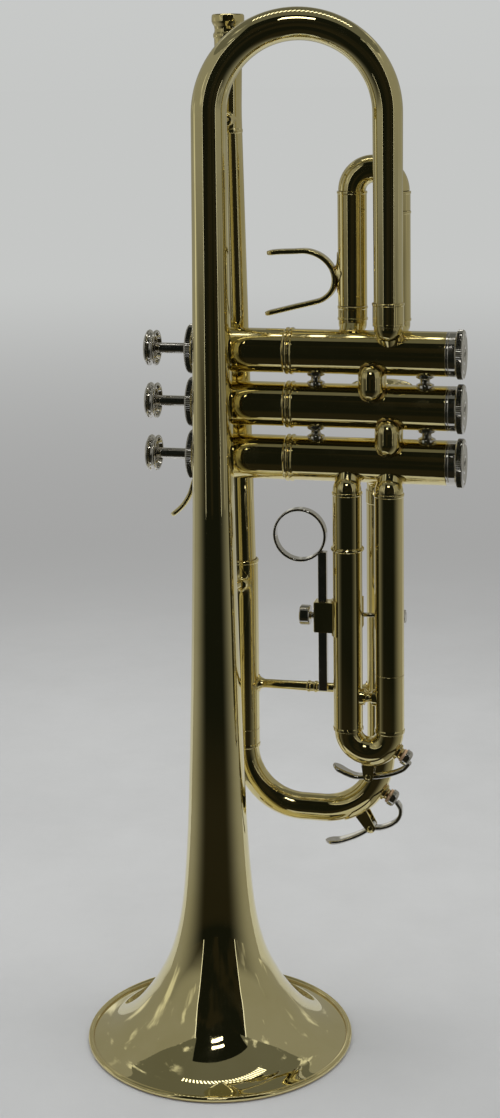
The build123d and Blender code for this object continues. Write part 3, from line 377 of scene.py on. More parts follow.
    def piece(self, name, body, slot, *nodes):
        """Make the Blender object, in metres, riding on its body in place of CAD nodes."""
        mesh = bpy.data.meshes.new(name)
        points = np.concatenate(self.points) * MM
        mesh.from_pydata(points.tolist(), [], np.concatenate(self.faces).tolist())
        work = bmesh.new()
        work.from_mesh(mesh)
        bmesh.ops.remove_doubles(work, verts=work.verts, dist=0.0005 * MM)
        bmesh.ops.dissolve_degenerate(work, edges=work.edges, dist=0.0002 * MM)
        bmesh.ops.recalc_face_normals(work, faces=work.faces)
        work.to_mesh(mesh)
        work.free()
        mesh.polygons.foreach_set("use_smooth", [True] * len(mesh.polygons))
        mesh.set_sharp_from_angle(angle=SHARP)
        made = placed(name, mesh)
        weighted = made.modifiers.new("weighted_normals", "WEIGHTED_NORMAL")
        weighted.keep_sharp = True
        mesh.materials.append(material(slot))
        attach(made, body)
        SLOT_OF.get(slot, slot)
        if nodes:
            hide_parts(*nodes)


# ================================ bell
def bell():
    """Flare, stem, bow and tail are one drawn tube."""
    flare = curve(FLARE, 14)
    bow_z = FLARE[-1][0]
    flat = np.array((cos(BOW_TURN), sin(BOW_TURN), 0.0))
    turn = arc(flat * BOW_R + (0, 0, bow_z), BOW_R, 180, 0, flat, Z, 72)
    tail_z = np.linspace(bow_z, TAIL_END_Z, 20)[1:]
    path = np.vstack([[(0, 0, z) for z in flare[:, 0]], turn[1:], [(*TAIL, z) for z in tail_z]])
    radii = np.concatenate([
        flare[:, 1], np.linspace(FLARE[-1][1], TAIL_TOP_R, 73)[1:],
        np.interp(tail_z, (TAIL_STRAIGHT_Z, bow_z), (TAIL_R, TAIL_TOP_R))])
    normal = (-sin(BOW_TURN), cos(BOW_TURN), 0)
    shape = Shape().tube(path, radii, normal, radii - BELL_WALL, 144)
    shape.piece("bell", BODY, "brass_bell", "bell_flare", "bell_bow")


def bell_rim():
    """Rolled wire edge with a narrow flat to stand on."""
    middle = RIM_R - RIM_BEAD_R
    bead = [(middle + RIM_BEAD_R * cos(a), max(0.0, RIM_BEAD_R - 0.15 + RIM_BEAD_R * sin(a)))
            for a in np.linspace(0, 2 * pi, 36, endpoint=False)]
    Shape().lathe(bead, (0, 0, 0), Z, 216, fillet=0).piece("rolled_rim", BODY, BRASS, "bell_rim")


def tail_ferrule():
    low, high = TAIL_FERRULE_Z
    wall = TAIL_R + 0.55
    outline = [(TAIL_R, low), (wall, low), (wall, low + 0.9), (wall - 0.12, low + 1.1),
               (wall, low + 1.3), (wall, high - 1.4), (wall + 0.25, high - 1.1),
               (wall + 0.25, high - 0.3), (wall - 0.15, high), (TAIL_R, high)]
    shape = Shape().lathe(outline, (*TAIL, 0), Z, fillet=0.12)
    shape.piece("bell_tail_ferrule", BODY, BRASS, "tail_ferrule")


# ================================ fits between round parts
def onto(center, axis, radius, direction):
    """Function that slides a ring's points along direction onto a cylinder."""
    a, d = unit(axis), unit(direction)
    flat = d - a * (a @ d)

    def fit(ring):
        q = ring - np.asarray(center, float)
        q = q - np.outer(q @ a, a)
        p, b, c = flat @ flat, q @ flat, (q * q).sum(1) - radius ** 2
        reach = (-b - np.sqrt(np.maximum(b * b - p * c, 0))) / p
        return ring + reach[:, None] * d

    return fit


def onto_casing(number, direction):
    return onto((0, VALVE_Y, VALVE_Z[number]), X, CASING_R - WALL, direction)


# ================================ casings, caps and posts
def valve_casing(number):
    """Two-part barrel, with a pair of beads where the parts meet."""
    start, end = CASING_X
    wall, (wide, bore) = CASING_R, CASING_BORE_R
    outline = [(wide, start), (THREAD_R, start), (THREAD_R, start + 5.0), (wall, start + 5.0)]
    outline += [(wall, 5.0), (wall, 15.0), (wall, 25.0), (wall, BEAD_XS[0] - 1.3)]
    for x in BEAD_XS:
        outline += [(wall + 0.1, x - 0.95), (wall + 0.65, x - 0.4), (wall + 0.65, x + 0.4),
                    (wall + 0.1, x + 0.95)]
    outline += [(wall, BEAD_XS[1] + 1.3)] + [(wall, x) for x in range(40, 100, 10)]
    outline += [(wall, end - 4.6), (THREAD_R, end - 4.6), (THREAD_R, end), (bore, end),
                (bore, 30.0), (wide, 30.0)]
    shape = Shape().lathe(outline, (0, VALVE_Y, VALVE_Z[number]), X, 144, fillet=0.3)
    shape.piece(f"casing_{number}", BODY, BRASS, f"valve_casing_{number}")


def top_caps():
    outline = [(9.62, -9.05), (10.7, -9.05), (10.9, -9.9), (10.9, -12.2), (11.1, -12.5),
               (11.5, -12.8), (11.5, -15.0), (11.1, -15.6), (8.0, -15.6), (6.9, -15.65),
               (6.3, -16.3), (5.5, -16.8), (5.2, -17.3), (3.2, -17.3), (2.65, -17.0),
               (2.65, -14.25), (9.62, -14.25)]
    shape = Shape()
    for z in VALVE_Z.values():
        shape.lathe(outline, (0, VALVE_Y, z), X, knurl=(-15.1, -12.7, *CAP_KNURL))
    shape.piece("upper_caps", BODY, "nickel", "top_caps")


def bottom_caps():
    """Sleeve, knurled flange, turned rings on the face, and a vent in the middle."""
    outline = [(9.62, 104.02), (10.25, 104.02), (10.25, 105.0), (10.1, 105.2), (10.25, 105.4),
               (10.25, 108.3), (10.7, 108.6), (11.2, 108.9), (11.2, 111.1), (10.8, 111.7),
               (9.6, 111.95), (9.3, 111.6), (8.7, 111.6), (8.4, 111.95), (4.6, 111.7),
               (4.3, 112.0), (3.4, 112.0), (3.1, 111.6), (2.3, 111.6), (1.6, 111.9),
               (1.6, 110.25), (8.4, 110.25), (8.4, 108.72), (9.62, 108.72)]
    shape = Shape()
    for z in VALVE_Z.values():
        shape.lathe(outline, (0, VALVE_Y, z), X, knurl=(108.8, 111.2, *CAP_KNURL))
    shape.piece("lower_caps", BODY, "nickel", "bottom_caps")


def casing_posts():
    """Waisted pillars between neighbouring casings."""
    shape = Shape()
    profile = ((-1.95, 4.1), (-1.75, 4.1), (-1.45, 3.9), (-1.0, 2.9), (-0.6, 2.35), (0.0, 2.2),
               (0.6, 2.35), (1.0, 2.9), (1.45, 3.9), (1.75, 4.1), (1.95, 4.1))
    for upper, lower, xs in ((1, 2, (43.8, 93.9)), (2, 3, (43.7, 94.6))):
        middle = (VALVE_Z[upper] + VALVE_Z[lower]) / 2
        for x in xs:
            path = [(x, VALVE_Y, middle + h) for h, _ in profile]
            fits = (onto_casing(lower, (0, 0, -1)), onto_casing(upper, Z))
            shape.tube(path, [r for _, r in profile], X, ends=fits)
    shape.piece("casing_pillars", BODY, "nickel", "casing_posts")


# ================================ valves
def finger_button(number):
    """Dished button with a double rim and a thin crown."""
    outline = [(0, -35.75), (5.6, -35.75), (6.3, -36.05), (7.4, -35.95), (8.2, -35.45),
               (8.5, -34.8), (8.2, -34.25), (7.6, -33.95), (7.5, -33.2), (7.6, -32.45),
               (8.1, -32.15), (8.4, -31.6), (8.1, -31.1), (7.2, -31.05), (6.6, -32.9),
               (4.6, -33.25), (3.3, -32.95), (2.6, -32.8), (2.55, -32.95), (0, -32.95)]
    shape = Shape().lathe(outline, (0, VALVE_Y, VALVE_Z[number]), X, wrap=False)
    shape.piece(f"button_{number}", f"valve_{number}", "nickel", f"finger_button_{number}")


def valve_stem(number):
    outline = [(0, BUTTON_X + 0.02), (STEM_R, BUTTON_X + 0.02), (STEM_R, -28.0), (STEM_R, -20.0),
               (STEM_R, -9.52), (0, -9.52)]
    shape = Shape().lathe(outline, (0, VALVE_Y, VALVE_Z[number]), X, 64, wrap=False)
    shape.piece(f"stem_{number}", f"valve_{number}", "nickel", f"valve_stem_{number}")


# ================================ leadpipe side
def lead_x(z):
    share = (RECEIVER_TOP_Z - z) / (RECEIVER_TOP_Z - LEAD_END_Z)
    return RECEIVER_X + share * (LEAD_X_LOW - RECEIVER_X)


def receiver():
    top, end = RECEIVER_TOP_Z, RECEIVER_END_Z
    outline = [
        (5.3, top), (6.9, top), (7.5, top - 0.6), (7.6, top - 1.6), (7.6, top - 3.4),
        (7.2, top - 4.4), (6.5, top - 5.6), (6.25, top - 6.8), (6.35, top - 8.2),
        (6.9, top - 9.1), (6.95, top - 9.8), (6.9, top - 10.5), (6.5, top - 11.3),
        (6.48, top - 16), (6.2, end + 27), (5.96, end + 13), (5.95, end + 2.3),
        (6.3, end + 1.9), (6.35, end + 1.1), (6.3, end + 0.4), (5.95, end + 0.02),
        (5.2, end + 0.02), (5.15, end + 8.0), (4.4, end + 8.1), (4.4, top - 26), (5.3, top - 24)]
    shape = Shape().lathe(outline, (RECEIVER_X, LEAD_Y, 0), Z, fillet=0.35)
    shape.piece("mouthpiece_receiver", BODY, BRASS, "receiver")


def leadpipe():
    start = RECEIVER_END_Z + 8
    low = np.array((LEAD_X_LOW, LEAD_Y, LEAD_END_Z))
    high = np.array((lead_x(start), LEAD_Y, start))
    length = np.linalg.norm(high - low)
    outline = [(5.5, 0), (6.05, 0), (5.78, 0.3 * length), (5.51, 0.6 * length), (5.15, length),
               (4.5, length)]
    Shape().lathe(outline, low, high - low).piece("mouthpipe", BODY, BRASS, "leadpipe")


def main_outer_tubes():
    low, high = MAIN_OUTER_Z
    rim = OUTER_R + 0.3
    outline = [(OUTER_BORE_R, low), (OUTER_R, low), (OUTER_R, low + 30), (OUTER_R, high - 1.7),
               (rim, high - 1.5), (rim, high - 0.5), (OUTER_R, high - 0.02),
               (6.08, high - 0.02), (6.08, LEAD_END_Z - 0.3), (OUTER_BORE_R, LEAD_END_Z - 0.4)]
    shape = Shape().lathe(outline, (MAIN_X[0], LEAD_Y, 0), Z)
    shape.piece("upper_outer_tube", BODY, BRASS, "main_upper_outer")
    high = MAIN_KNUCKLE_Z - 5.0
    outline = [(OUTER_BORE_R, low), (OUTER_R, low), (OUTER_R, low + 50), (OUTER_R, high - 6.5),
               (FERRULE_R, high - 6.2), (FERRULE_R, high - 0.3), (OUTER_BORE_R, high - 0.02)]
    shape = Shape().lathe(outline, (MAIN_X[1], LEAD_Y, 0), Z)
    shape.piece("lower_outer_tube", BODY, BRASS, "main_lower_outer")


def main_brace():
    """Round stay with a turned collar and a kite foot at each end."""
    left, right = MAIN_X[0] + OUTER_R, MAIN_X[1] - OUTER_R
    middle = (left + right) / 2
    outline = [(0, left - 0.35), (2.1, left - 0.35), (2.1, left + 2.5), (2.2, middle - 10),
               (2.3, middle - 2.6), (2.75, middle - 2.2), (2.75, middle - 1.2),
               (2.4, middle - 0.8), (2.4, middle + 0.8), (2.75, middle + 1.2),
               (2.75, middle + 2.2), (2.3, middle + 2.6), (2.2, middle + 10),
               (2.1, right - 2.5), (2.1, right + 0.35), (0, right + 0.35)]
    shape = Shape().lathe(outline, (0, LEAD_Y, MAIN_BRACE_Z), X, 64, wrap=False)
    for x, toward in zip(MAIN_X, (X, (-1, 0, 0))):
        shape.foot((x, LEAD_Y, MAIN_BRACE_Z), OUTER_R, toward, 5.6, 4.3, 4.3, 2.2)
    shape.piece("main_stay", BODY, BRASS, "main_brace")


def bell_braces():
    """Stays between the bell and the leadpipe, the lower one on a long leaf."""
    shape = Shape()
    upper, lower = BELL_BRACE_Z
    for z, bell_r, x, tube_r, up, down in ((upper, 8.06, RECEIVER_X, 5.95, 4.8, 3.8),
                                           (lower, 10.56, MAIN_X[0], OUTER_R, 7.5, 27.0)):
        start, end = np.array((0, bell_r - 0.4, z)), np.array((x, LEAD_Y - tube_r + 0.35, z))
        length = np.linalg.norm(end - start)
        outline = [(0, 0), (2.0, 0), (2.0, 3), (1.85, length / 2), (2.0, length - 3),
                   (2.0, length), (0, length)]
        shape.lathe(outline, start, end - start, 64, wrap=False)
        shape.foot((x, LEAD_Y, z), tube_r, (0, -1, 0), 5.6, up, down, 2.1)
        shape.foot((0, 0, z), bell_r, Y, 5.6, min(up, 6.0), min(down, 6.0), 2.1)
    shape.piece("bell_stays", BODY, BRASS, "bell_braces")


def pinky_hook():
    path = ((-3.6, 264.4), (-7.0, 264.9), (-11.4, 263.8), (-15.6, 260.2), (-18.4, 254.6),
            (-20.4, 248.4), (-23.6, 243.0), (-27.4, 239.2), (-30.4, 237.0))
    widths = (3.0, 3.3, 3.7, 3.9, 3.9, 3.8, 3.9, 3.9, 3.4)
    shape = Shape().strap(path, widths, STRAP_T / 2, LEAD_Y, tips=(False, True))
    shape.foot((lead_x(262), LEAD_Y, 262.0), 5.82, (-1, 0, 0), 5.0, 10.0, 10.0, 1.6)
    shape.piece("little_finger_hook", BODY, BRASS, "pinky_hook")


# ================================ tubes of the slides
def inner_tube(low, high):
    """(radius, height) corners of a plain inner tube."""
    return [(INNER_BORE_R, low), (INNER_R, low), (INNER_R, high), (INNER_BORE_R, high)]


def moving_ferrule(low, line):
    """Corners of the ferrule on a moving leg, with its bead just below the line of the bow."""
    return [(INNER_R, low), (OUTER_R, low), (OUTER_R, line - 1.5), (FERRULE_R, line - 1.2),
            (FERRULE_R, line - 0.2), (INNER_R, line)]


def leg(shape, x, y, top, ferrule_top, ferrule_low):
    """Inner tube in a ferrule with a small bead at its foot."""
    shape.lathe([(INNER_BORE_R, ferrule_low), (FERRULE_R - 0.1, ferrule_low),
                 (FERRULE_R, ferrule_low + 0.4), (FERRULE_R, ferrule_low + 1.5),
                 (OUTER_R, ferrule_low + 1.9), (OUTER_R, ferrule_top), (INNER_R, ferrule_top),
                 (INNER_R, top), (INNER_BORE_R, top)], (x, y, 0), Z, fillet=0.2)


def u_bend(xs, place, v, normal, end):
    """Half circle between two legs at xs, from 180 degrees to end in the plane of X and v."""
    left, right = xs
    center = np.add(place, ((left + right) / 2, 0, 0))
    path = arc(center, (right - left) / 2, 180, end, X, v, 48)
    return Shape().tube(path, CROOK_R, normal, CROOK_BORE_R)


def main_bow():
    left, right = MAIN_X[0] + MAIN_BOW_R, MAIN_X[1] - MAIN_BOW_R
    path = arc((left, LEAD_Y, MAIN_BOW_Z), MAIN_BOW_R, 180, 270, X, Z, 36)
    path += arc((right, LEAD_Y, MAIN_BOW_Z), MAIN_BOW_R, 270, 360, X, Z, 36)
    shape = Shape().tube(path, CROOK_R, Y, CROOK_BORE_R)
    shape.piece("tuning_bow", "main_slide", BRASS, "main_bow")


def main_legs():
    shape = Shape()
    for x, top in zip(MAIN_X, (LEAD_END_Z - 4.0, MAIN_KNUCKLE_Z - 14.0)):
        leg(shape, x, LEAD_Y, top, MAIN_OUTER_Z[0] - SLIDE_GAP, MAIN_BOW_Z)
    shape.piece("tuning_legs", "main_slide", BRASS, "main_legs")


def end_ring(outline_r, z, height=1.4):
    """Rounded ring on a tube's end, as (radius, height) corners."""
    return [(outline_r, z - height), (outline_r + 0.25, z - height + 0.25),
            (outline_r + 0.25, z - 0.25), (outline_r, z)]


def first_fixed_tubes():
    left, right = FIRST_X
    low = FIRST_LINE_Z
    shape = Shape()
    for x, top in ((left, FIRST_STUB_Z), (right, FIRST_OUTER_Z)):
        shape.lathe([(OUTER_BORE_R, low), (FERRULE_R, low), (FERRULE_R, low + 1.0),
                     (OUTER_R, low + 1.3), *end_ring(OUTER_R, top), (OUTER_BORE_R, top)],
                    (x, FIRST_Y, 0), Z, fillet=0.2)
    shape.piece("first_outer_tubes", BODY, BRASS, "first_fixed_tubes")
    shape = Shape().lathe(inner_tube(low, FIRST_OUTER_Z), (left, FIRST_Y, 0), Z)
    shape.piece("first_inner_tube", BODY, "nickel_silver")


def first_slide():
    left, right = FIRST_X
    shape = u_bend(FIRST_X, (0, FIRST_Y, FIRST_BOW_Z), Z, Y, 0)
    ferrule = moving_ferrule(FIRST_OUTER_Z + SLIDE_GAP, FIRST_BOW_Z)
    shape.lathe(ferrule, (right, FIRST_Y, 0), Z, fillet=0.2)
    shape.piece("first_bow", "first_slide", BRASS, "first_crook")
    inner = inner_tube(FIRST_LINE_Z + 2, FIRST_BOW_Z - 0.1)
    shape = Shape().lathe(inner, (right, FIRST_Y, 0), Z)
    shape.piece("first_inner_leg", "first_slide", "nickel_silver")
    low = FIRST_STUB_Z + SLIDE_GAP
    shape = Shape().lathe([
        (OUTER_BORE_R, low), (OUTER_R, low), (OUTER_R, low + 25), (OUTER_R, FIRST_BOW_Z - 1.5),
        (FERRULE_R, FIRST_BOW_Z - 1.2), (FERRULE_R, FIRST_BOW_Z - 0.2),
        (OUTER_BORE_R, FIRST_BOW_Z)], (left, FIRST_Y, 0), Z, fillet=0.2)
    shape.piece("first_sleeve_tube", "first_slide", BRASS, "first_sleeve")


def thumb_saddle():
    path = ((19.6, 364.2), (25.1, 364.8), (32.1, 365.1), (39.1, 365.2), (45.3, 362.8),
            (49.8, 358.2), (51.4, 352.5), (50.0, 347.1), (45.6, 343.1), (39.1, 341.1),
            (32.1, 339.4), (25.1, 337.6), (18.6, 336.0))
    shape = Shape().strap(path, (3.3, *(3.5,) * 11, 3.3), STRAP_T / 2, FIRST_Y)
    left = FIRST_X[0]
    shape.foot((left, FIRST_Y, 355.6), OUTER_R, (-1, 0, 0), 6.2, 9.5, 9.5, 2.2)
    post = [(x, FIRST_Y, 353.6) for x in (50.8, left - OUTER_R - 0.1)]
    shape.tube(post, 2.1, Y, around=48)
    shape.piece("thumb_hook", "first_slide", BRASS, "thumb_saddle")


def second_slide():
    z = VALVE_Z[2]
    shape = Shape()
    fit = onto_casing(2, (0, -1, 0))
    for x in SECOND_X:
        top = SECOND_OUTER_Y - 1.4
        path = [(x, y, z) for y in (VALVE_Y + CASING_R + 0.3, VALVE_Y + 12, top)]
        shape.tube(path, OUTER_R, X, OUTER_BORE_R, ends=(fit, None))
        shape.bead(fit(shape.hoops(np.array(path), OUTER_R + 0.1, X, 72, ())[0]))
        ring = [(OUTER_BORE_R, top - 0.1), *end_ring(OUTER_R, top + 1.4), (OUTER_BORE_R, top + 1.4)]
        shape.lathe(ring, (x, 0, z), Y, fillet=0.15)
    shape.piece("second_outer_tubes", BODY, BRASS, "second_fixed_tubes")
    left, right = SECOND_X
    middle, half = (left + right) / 2, (right - left) / 2
    shape = u_bend(SECOND_X, (0, SECOND_BOW_Y, z), Y, Z, 0)
    for x in SECOND_X:
        ferrule = moving_ferrule(SECOND_OUTER_Y + SLIDE_GAP, SECOND_BOW_Y)
        shape.lathe(ferrule, (x, 0, z), Y, fillet=0.2)
    shape.piece("second_bow", "second_slide_body", BRASS, "second_slide")
    shape = Shape()
    for x in SECOND_X:
        shape.lathe(inner_tube(VALVE_Y + 14.5, SECOND_BOW_Y - 0.1), (x, 0, z), Y)
    shape.piece("second_inner_legs", "second_slide_body", "nickel_silver")
    tip = SECOND_BOW_Y + half + CROOK_R
    knob = [(0, -0.35), (3.0, -0.35), (3.2, 0.5), (2.2, 1.2), (1.75, 2.2), (1.75, 3.4),
            (2.6, 4.4), (3.6, 5.2), (3.9, 6.3), (3.5, 7.5), (2.2, 8.3), (0, 8.45)]
    shape = Shape().lathe(knob, (middle, tip, z), Y, 64, wrap=False, fillet=0.4)
    shape.piece("slide_knob", "second_slide_body", BRASS, "pull_knob")


def third_fixed_tubes():
    left, right = THIRD_X
    top = THIRD_LINE_Z
    collar = [(OUTER_R, top - 1.6), (FERRULE_R, top - 1.3), (FERRULE_R, top - 0.2), (OUTER_R, top)]
    ring = THIRD_RING_Z
    shape = Shape().lathe([
        (OUTER_BORE_R, ring + 0.02), (7.3, ring + 0.02), (7.6, ring + 0.5), (7.6, ring + 1.1),
        (7.3, ring + 1.6), (OUTER_R, ring + 1.7), (OUTER_R, ring + 12), *collar,
        (OUTER_BORE_R, top)], (left, THIRD_Y, 0), Z, fillet=0.2)
    shape.lathe([(OUTER_BORE_R, THIRD_OUTER_Z), (OUTER_R, THIRD_OUTER_Z),
                 (OUTER_R, THIRD_OUTER_Z + 30), *collar, (OUTER_BORE_R, top)],
                (right, THIRD_Y, 0), Z, fillet=0.2)
    shape.piece("third_outer_tubes", BODY, BRASS, "third_fixed_tubes")
    shape = Shape().lathe(inner_tube(THIRD_BOW_Z + 4, top - 0.2), (left, THIRD_Y, 0), Z)
    shape.piece("third_inner_tube", BODY, "nickel_silver")


def third_slide():
    left, right = THIRD_X
    middle = (left + right) / 2
    shape = u_bend(THIRD_X, (0, THIRD_Y, THIRD_BOW_Z), Z, Y, 360)
    shape.piece("third_bow", "third_slide", BRASS, "third_crook")
    high = THIRD_RING_Z - SLIDE_GAP
    low = THIRD_BOW_Z
    shape = Shape().lathe([
        (OUTER_BORE_R, low), (FERRULE_R, low), (FERRULE_R, low + 1.3), (OUTER_R, low + 1.6),
        (OUTER_R, low + 40), (OUTER_R, high), (OUTER_BORE_R, high)],
        (left, THIRD_Y, 0), Z, fillet=0.2)
    shape.piece("third_sleeve_tube", "third_slide", BRASS, "third_sleeve")
    shape = Shape()
    leg(shape, right, THIRD_Y, THIRD_LINE_Z - 4, THIRD_OUTER_Z - SLIDE_GAP, low)
    shape.piece("third_inner_leg", "third_slide", BRASS, "third_inner")
    z = THIRD_BRACE_Z
    profile = ((left + OUTER_R + 0.3, 3.9), (left + OUTER_R + 1.0, 3.7), (middle - 1.4, 2.6),
               (middle - 0.6, 2.1), (middle + 0.6, 2.1), (middle + 1.4, 2.6),
               (right - OUTER_R - 1.0, 3.7), (right - OUTER_R - 0.3, 3.9))
    fits = (onto((left, THIRD_Y, 0), Z, OUTER_R - WALL, (-1, 0, 0)),
            onto((right, THIRD_Y, 0), Z, OUTER_R - WALL, X))
    shape = Shape().tube([(x, THIRD_Y, z) for x, _ in profile], [r for _, r in profile], Y,
                         ends=fits)
    shape.piece("third_pillar", "third_slide", BRASS, "third_brace")


# ================================ finger ring, clamp, lyre holder
def around_corners(corners, count):
    """Ring of count points along a closed outline, to match the ring outside it."""
    corners = np.array([*corners, corners[0]], float)
    share = np.linspace(0, 1, len(corners))
    around = np.linspace(0, 1, count, endpoint=False)
    return np.stack([np.interp(around, share, corners[:, k]) for k in (0, 1)], 1)


def finger_ring():
    x, z = RING_CENTER
    (inside, outside), half = RING_R, 2.5
    band = [(inside, -half), (outside, -half), (outside, half), (inside, half)]
    shape = Shape().lathe(band, (x, THIRD_Y, z), Y, 144, fillet=0.45)
    bar = rounded([(ROD_X + a * ROD_HALF, THIRD_Y + b * ROD_HALF)
                   for a, b in ((-1, -1), (1, -1), (1, 1), (-1, 1))], 0.5)
    shape.prism(bar, *ROD_Z, X, Y, Z)
    shape.piece("adjustable_ring", "ring_rod", "nickel", "finger_ring")


def thumbscrew(name, body, node, x, y, z, head, radius, shank, shank_end):
    """Knurled head on a plain shank, along X from its head to shank_end."""
    a, b = head
    near, far = (b, a) if shank_end > b else (a, b)
    edge = 0.5 if far > near else -0.5
    outline = [(0, far), (radius * 0.55, far), (radius * 0.65, far - edge * 0.6),
               (radius * 0.75, far), (radius - 0.4, far), (radius, far - edge),
               (radius, near + edge), (radius - 0.4, near), (shank + 0.5, near),
               (shank, near - edge), (shank, shank_end), (0, shank_end)]
    low, high = sorted((far - edge * 1.2, near + edge * 1.2))
    shape = Shape().lathe(outline, (x, y, z), X, wrap=False, fillet=0.15,
                          knurl=(low, high, *SCREW_KNURL))
    shape.piece(name, body, "nickel", node)


def ring_clamp():
    """Block with a square way for the rod, on a curved plate round the sleeve."""
    left, hug_r, side = THIRD_X[0], OUTER_R + 0.02, 3.6
    hug = [(left - sqrt(hug_r ** 2 - h * h), THIRD_Y + h) for h in np.linspace(-side, side, 9)]
    low, high, end = THIRD_Y - side, THIRD_Y + side, ROD_X - 3.9
    corner = rounded([(end + 5.6, high), (end, high), (end, low), (end + 5.6, low)], 0.7,
                     closed=False)
    outline = np.vstack([hug, corner])
    way = ROD_HALF + KEY_GAP
    hole = around_corners([(ROD_X + a * way, THIRD_Y + b * way)
                           for a, b in ((1, -1), (1, 1), (-1, 1), (-1, -1))], len(outline))
    axes = (X, Y, Z)
    shape = Shape().prism(outline, *CLAMP_Z, *axes, hole=hole, edge=0.5)
    angles = np.radians(np.linspace(125, 235, 25))
    band = [(left + r * cos(a), THIRD_Y + r * sin(a)) for r, turn in ((7.4, 1), (hug_r, -1))
            for a in angles[::turn]]
    shape.prism(np.array(band), CLAMP_Z[0] - 1.1, CLAMP_Z[1] + 1.1, *axes, edge=0.05)
    shape.piece("rod_clamp", "third_slide", BRASS, "ring_clamp")


def lyre_holder():
    left, hug_r, (x0, x1) = THIRD_X[0], OUTER_R + 0.02, LYRE_X
    hug = [(x, THIRD_Y + sqrt(hug_r ** 2 - (x - left) ** 2)) for x in np.linspace(x0, x1 - 1, 9)]
    back = LYRE_Y + 4.2
    block = rounded([(x1, LYRE_Y - 4.6), (x1, back), (x0, back), (x0, LYRE_Y - 3.8)], 0.7,
                    closed=False)
    outline = np.vstack([hug, block])
    (a0, a1), (b0, b1) = LYRE_SOCKET, (LYRE_Y - 2.4, LYRE_Y + 2.4)
    hole = around_corners([(a0, b0), (a1, b0), (a1, b1), (a0, b1)], len(outline))
    low, high = CLAMP_Z[0] - 0.8, CLAMP_Z[1] - 0.6
    shape = Shape().prism(outline, low, high, X, Y, Z, hole=hole, edge=0.5)
    shape.piece("lyre_block", "third_slide", BRASS, "lyre_holder")


# ================================ water keys
SPOUT_R = 2.6
SPOUT_BORE_R = 1.6
SPOUT_RISE = 2.4
CORK_LENGTH = 2.4
CUP_LENGTH = 3.4
EAR_Y = (2.6, 3.5)
HUB_HALF = 2.5
HUB_R = (1.05, 2.1)
KEYS = (
    dict(name="main", slide="main_slide", key="main_key", y=LEAD_Y,
         bend=(MAIN_X[1] - MAIN_BOW_R, MAIN_BOW_Z), bend_r=MAIN_BOW_R, spout=-32,
         pivot=(65.6, 90.7), saddle=(-72, -26), cup_r=4.0,
         blade=((43.4, 81.8), (46.5, 81.9), (51.0, 82.6), (57.0, 84.9), (61.5, 87.3), (64.8, 89.6)),
         arm=((66.2, 90.0), (70.5, 90.4), (75.6, 92.6), (79.0, 96.2), (79.7, 100.2), (77.9, 103.4))),
    dict(name="third", slide="third_slide", key="third_key", y=THIRD_Y,
         bend=(sum(THIRD_X) / 2, THIRD_BOW_Z), bend_r=(THIRD_X[1] - THIRD_X[0]) / 2, spout=-34,
         pivot=(68.9, 125.6), saddle=(-102, -22), cup_r=3.7,
         blade=((52.3, 129.5), (54.7, 127.8), (58.8, 125.8), (62.8, 124.6), (68.1, 124.8)),
         arm=((69.7, 125.0), (73.5, 125.4), (79.6, 127.0), (84.7, 129.5), (87.6, 132.7))),
)


def key_axis(key):
    turn = radians(key["spout"])
    x, z = key["bend"]
    return np.array((x, key["y"], z)), np.array((cos(turn), 0.0, sin(turn)))


def key_saddle(key):
    """Leaf plate on the bend, spout, two ears and the pivot pin."""
    shape = Shape()
    (x, z), y = key["bend"], key["y"]
    start, end = key["saddle"]
    angles = np.radians(np.linspace(start, end, 33))
    rows = []
    for i, a in enumerate(angles):
        share = 1 - abs(2 * i / 32 - 1)
        half = radians(20 + 42 * min(1.0, 2.2 * share) ** 0.6)
        section = np.linspace(-half, half, 17)
        out = np.array((cos(a), 0, sin(a)))
        middle = np.array((x, y, z)) + out * key["bend_r"]
        ring = [middle + r * (cos(s) * out + sin(s) * np.array((0, 1.0, 0)))
                for r, way in ((CROOK_R + 0.55, 1), (CROOK_R - 0.05, -1)) for s in section[::way]]
        rows.append(ring)
    shape.rings(rows)
    side = key["bend_r"] + CROOK_R
    center, out = key_axis(key)
    shape.lathe([(SPOUT_BORE_R, side - 0.4), (3.7, side - 0.4), (3.7, side + 0.7),
                 (3.3, side + 1.0), (SPOUT_R + 0.1, side + 1.3), (SPOUT_R, side + SPOUT_RISE - 0.3),
                 (SPOUT_R - 0.2, side + SPOUT_RISE), (SPOUT_BORE_R, side + SPOUT_RISE)],
                center, out, 64, fillet=0.15)
    px, pz = key["pivot"]
    pivot = np.array((px, pz))
    away = unit(pivot - np.array((x, z)))
    width = np.array((-away[1], away[0]))
    foot = np.array((x, z)) + away * (side - 0.2)
    turn = atan2(away[1], away[0])
    cap = [pivot + 2.3 * np.array((cos(a), sin(a)))
           for a in np.linspace(turn + pi / 2, turn - pi / 2, 17)]
    outline = np.array([foot + width * 3.0, *cap, foot - width * 3.0])
    near, far = EAR_Y
    for low, high in ((near, far), (-far, -near)):
        shape.prism(outline, y + low, y + high, X, Z, Y, edge=0.12)
    pin = [(0, -4.0), (0.8, -4.0), (1.35, -3.75), (1.35, -3.5), (1.0, -3.45), (1.0, 3.45),
           (1.35, 3.5), (1.35, 3.75), (0.8, 4.0), (0, 4.0)]
    shape.lathe(pin, (px, y, pz), Y, 48, wrap=False, fillet=0.15)
    shape.piece(f"{key['name']}_key_seat", key["slide"], BRASS, f"{key['name']}_key_saddle")


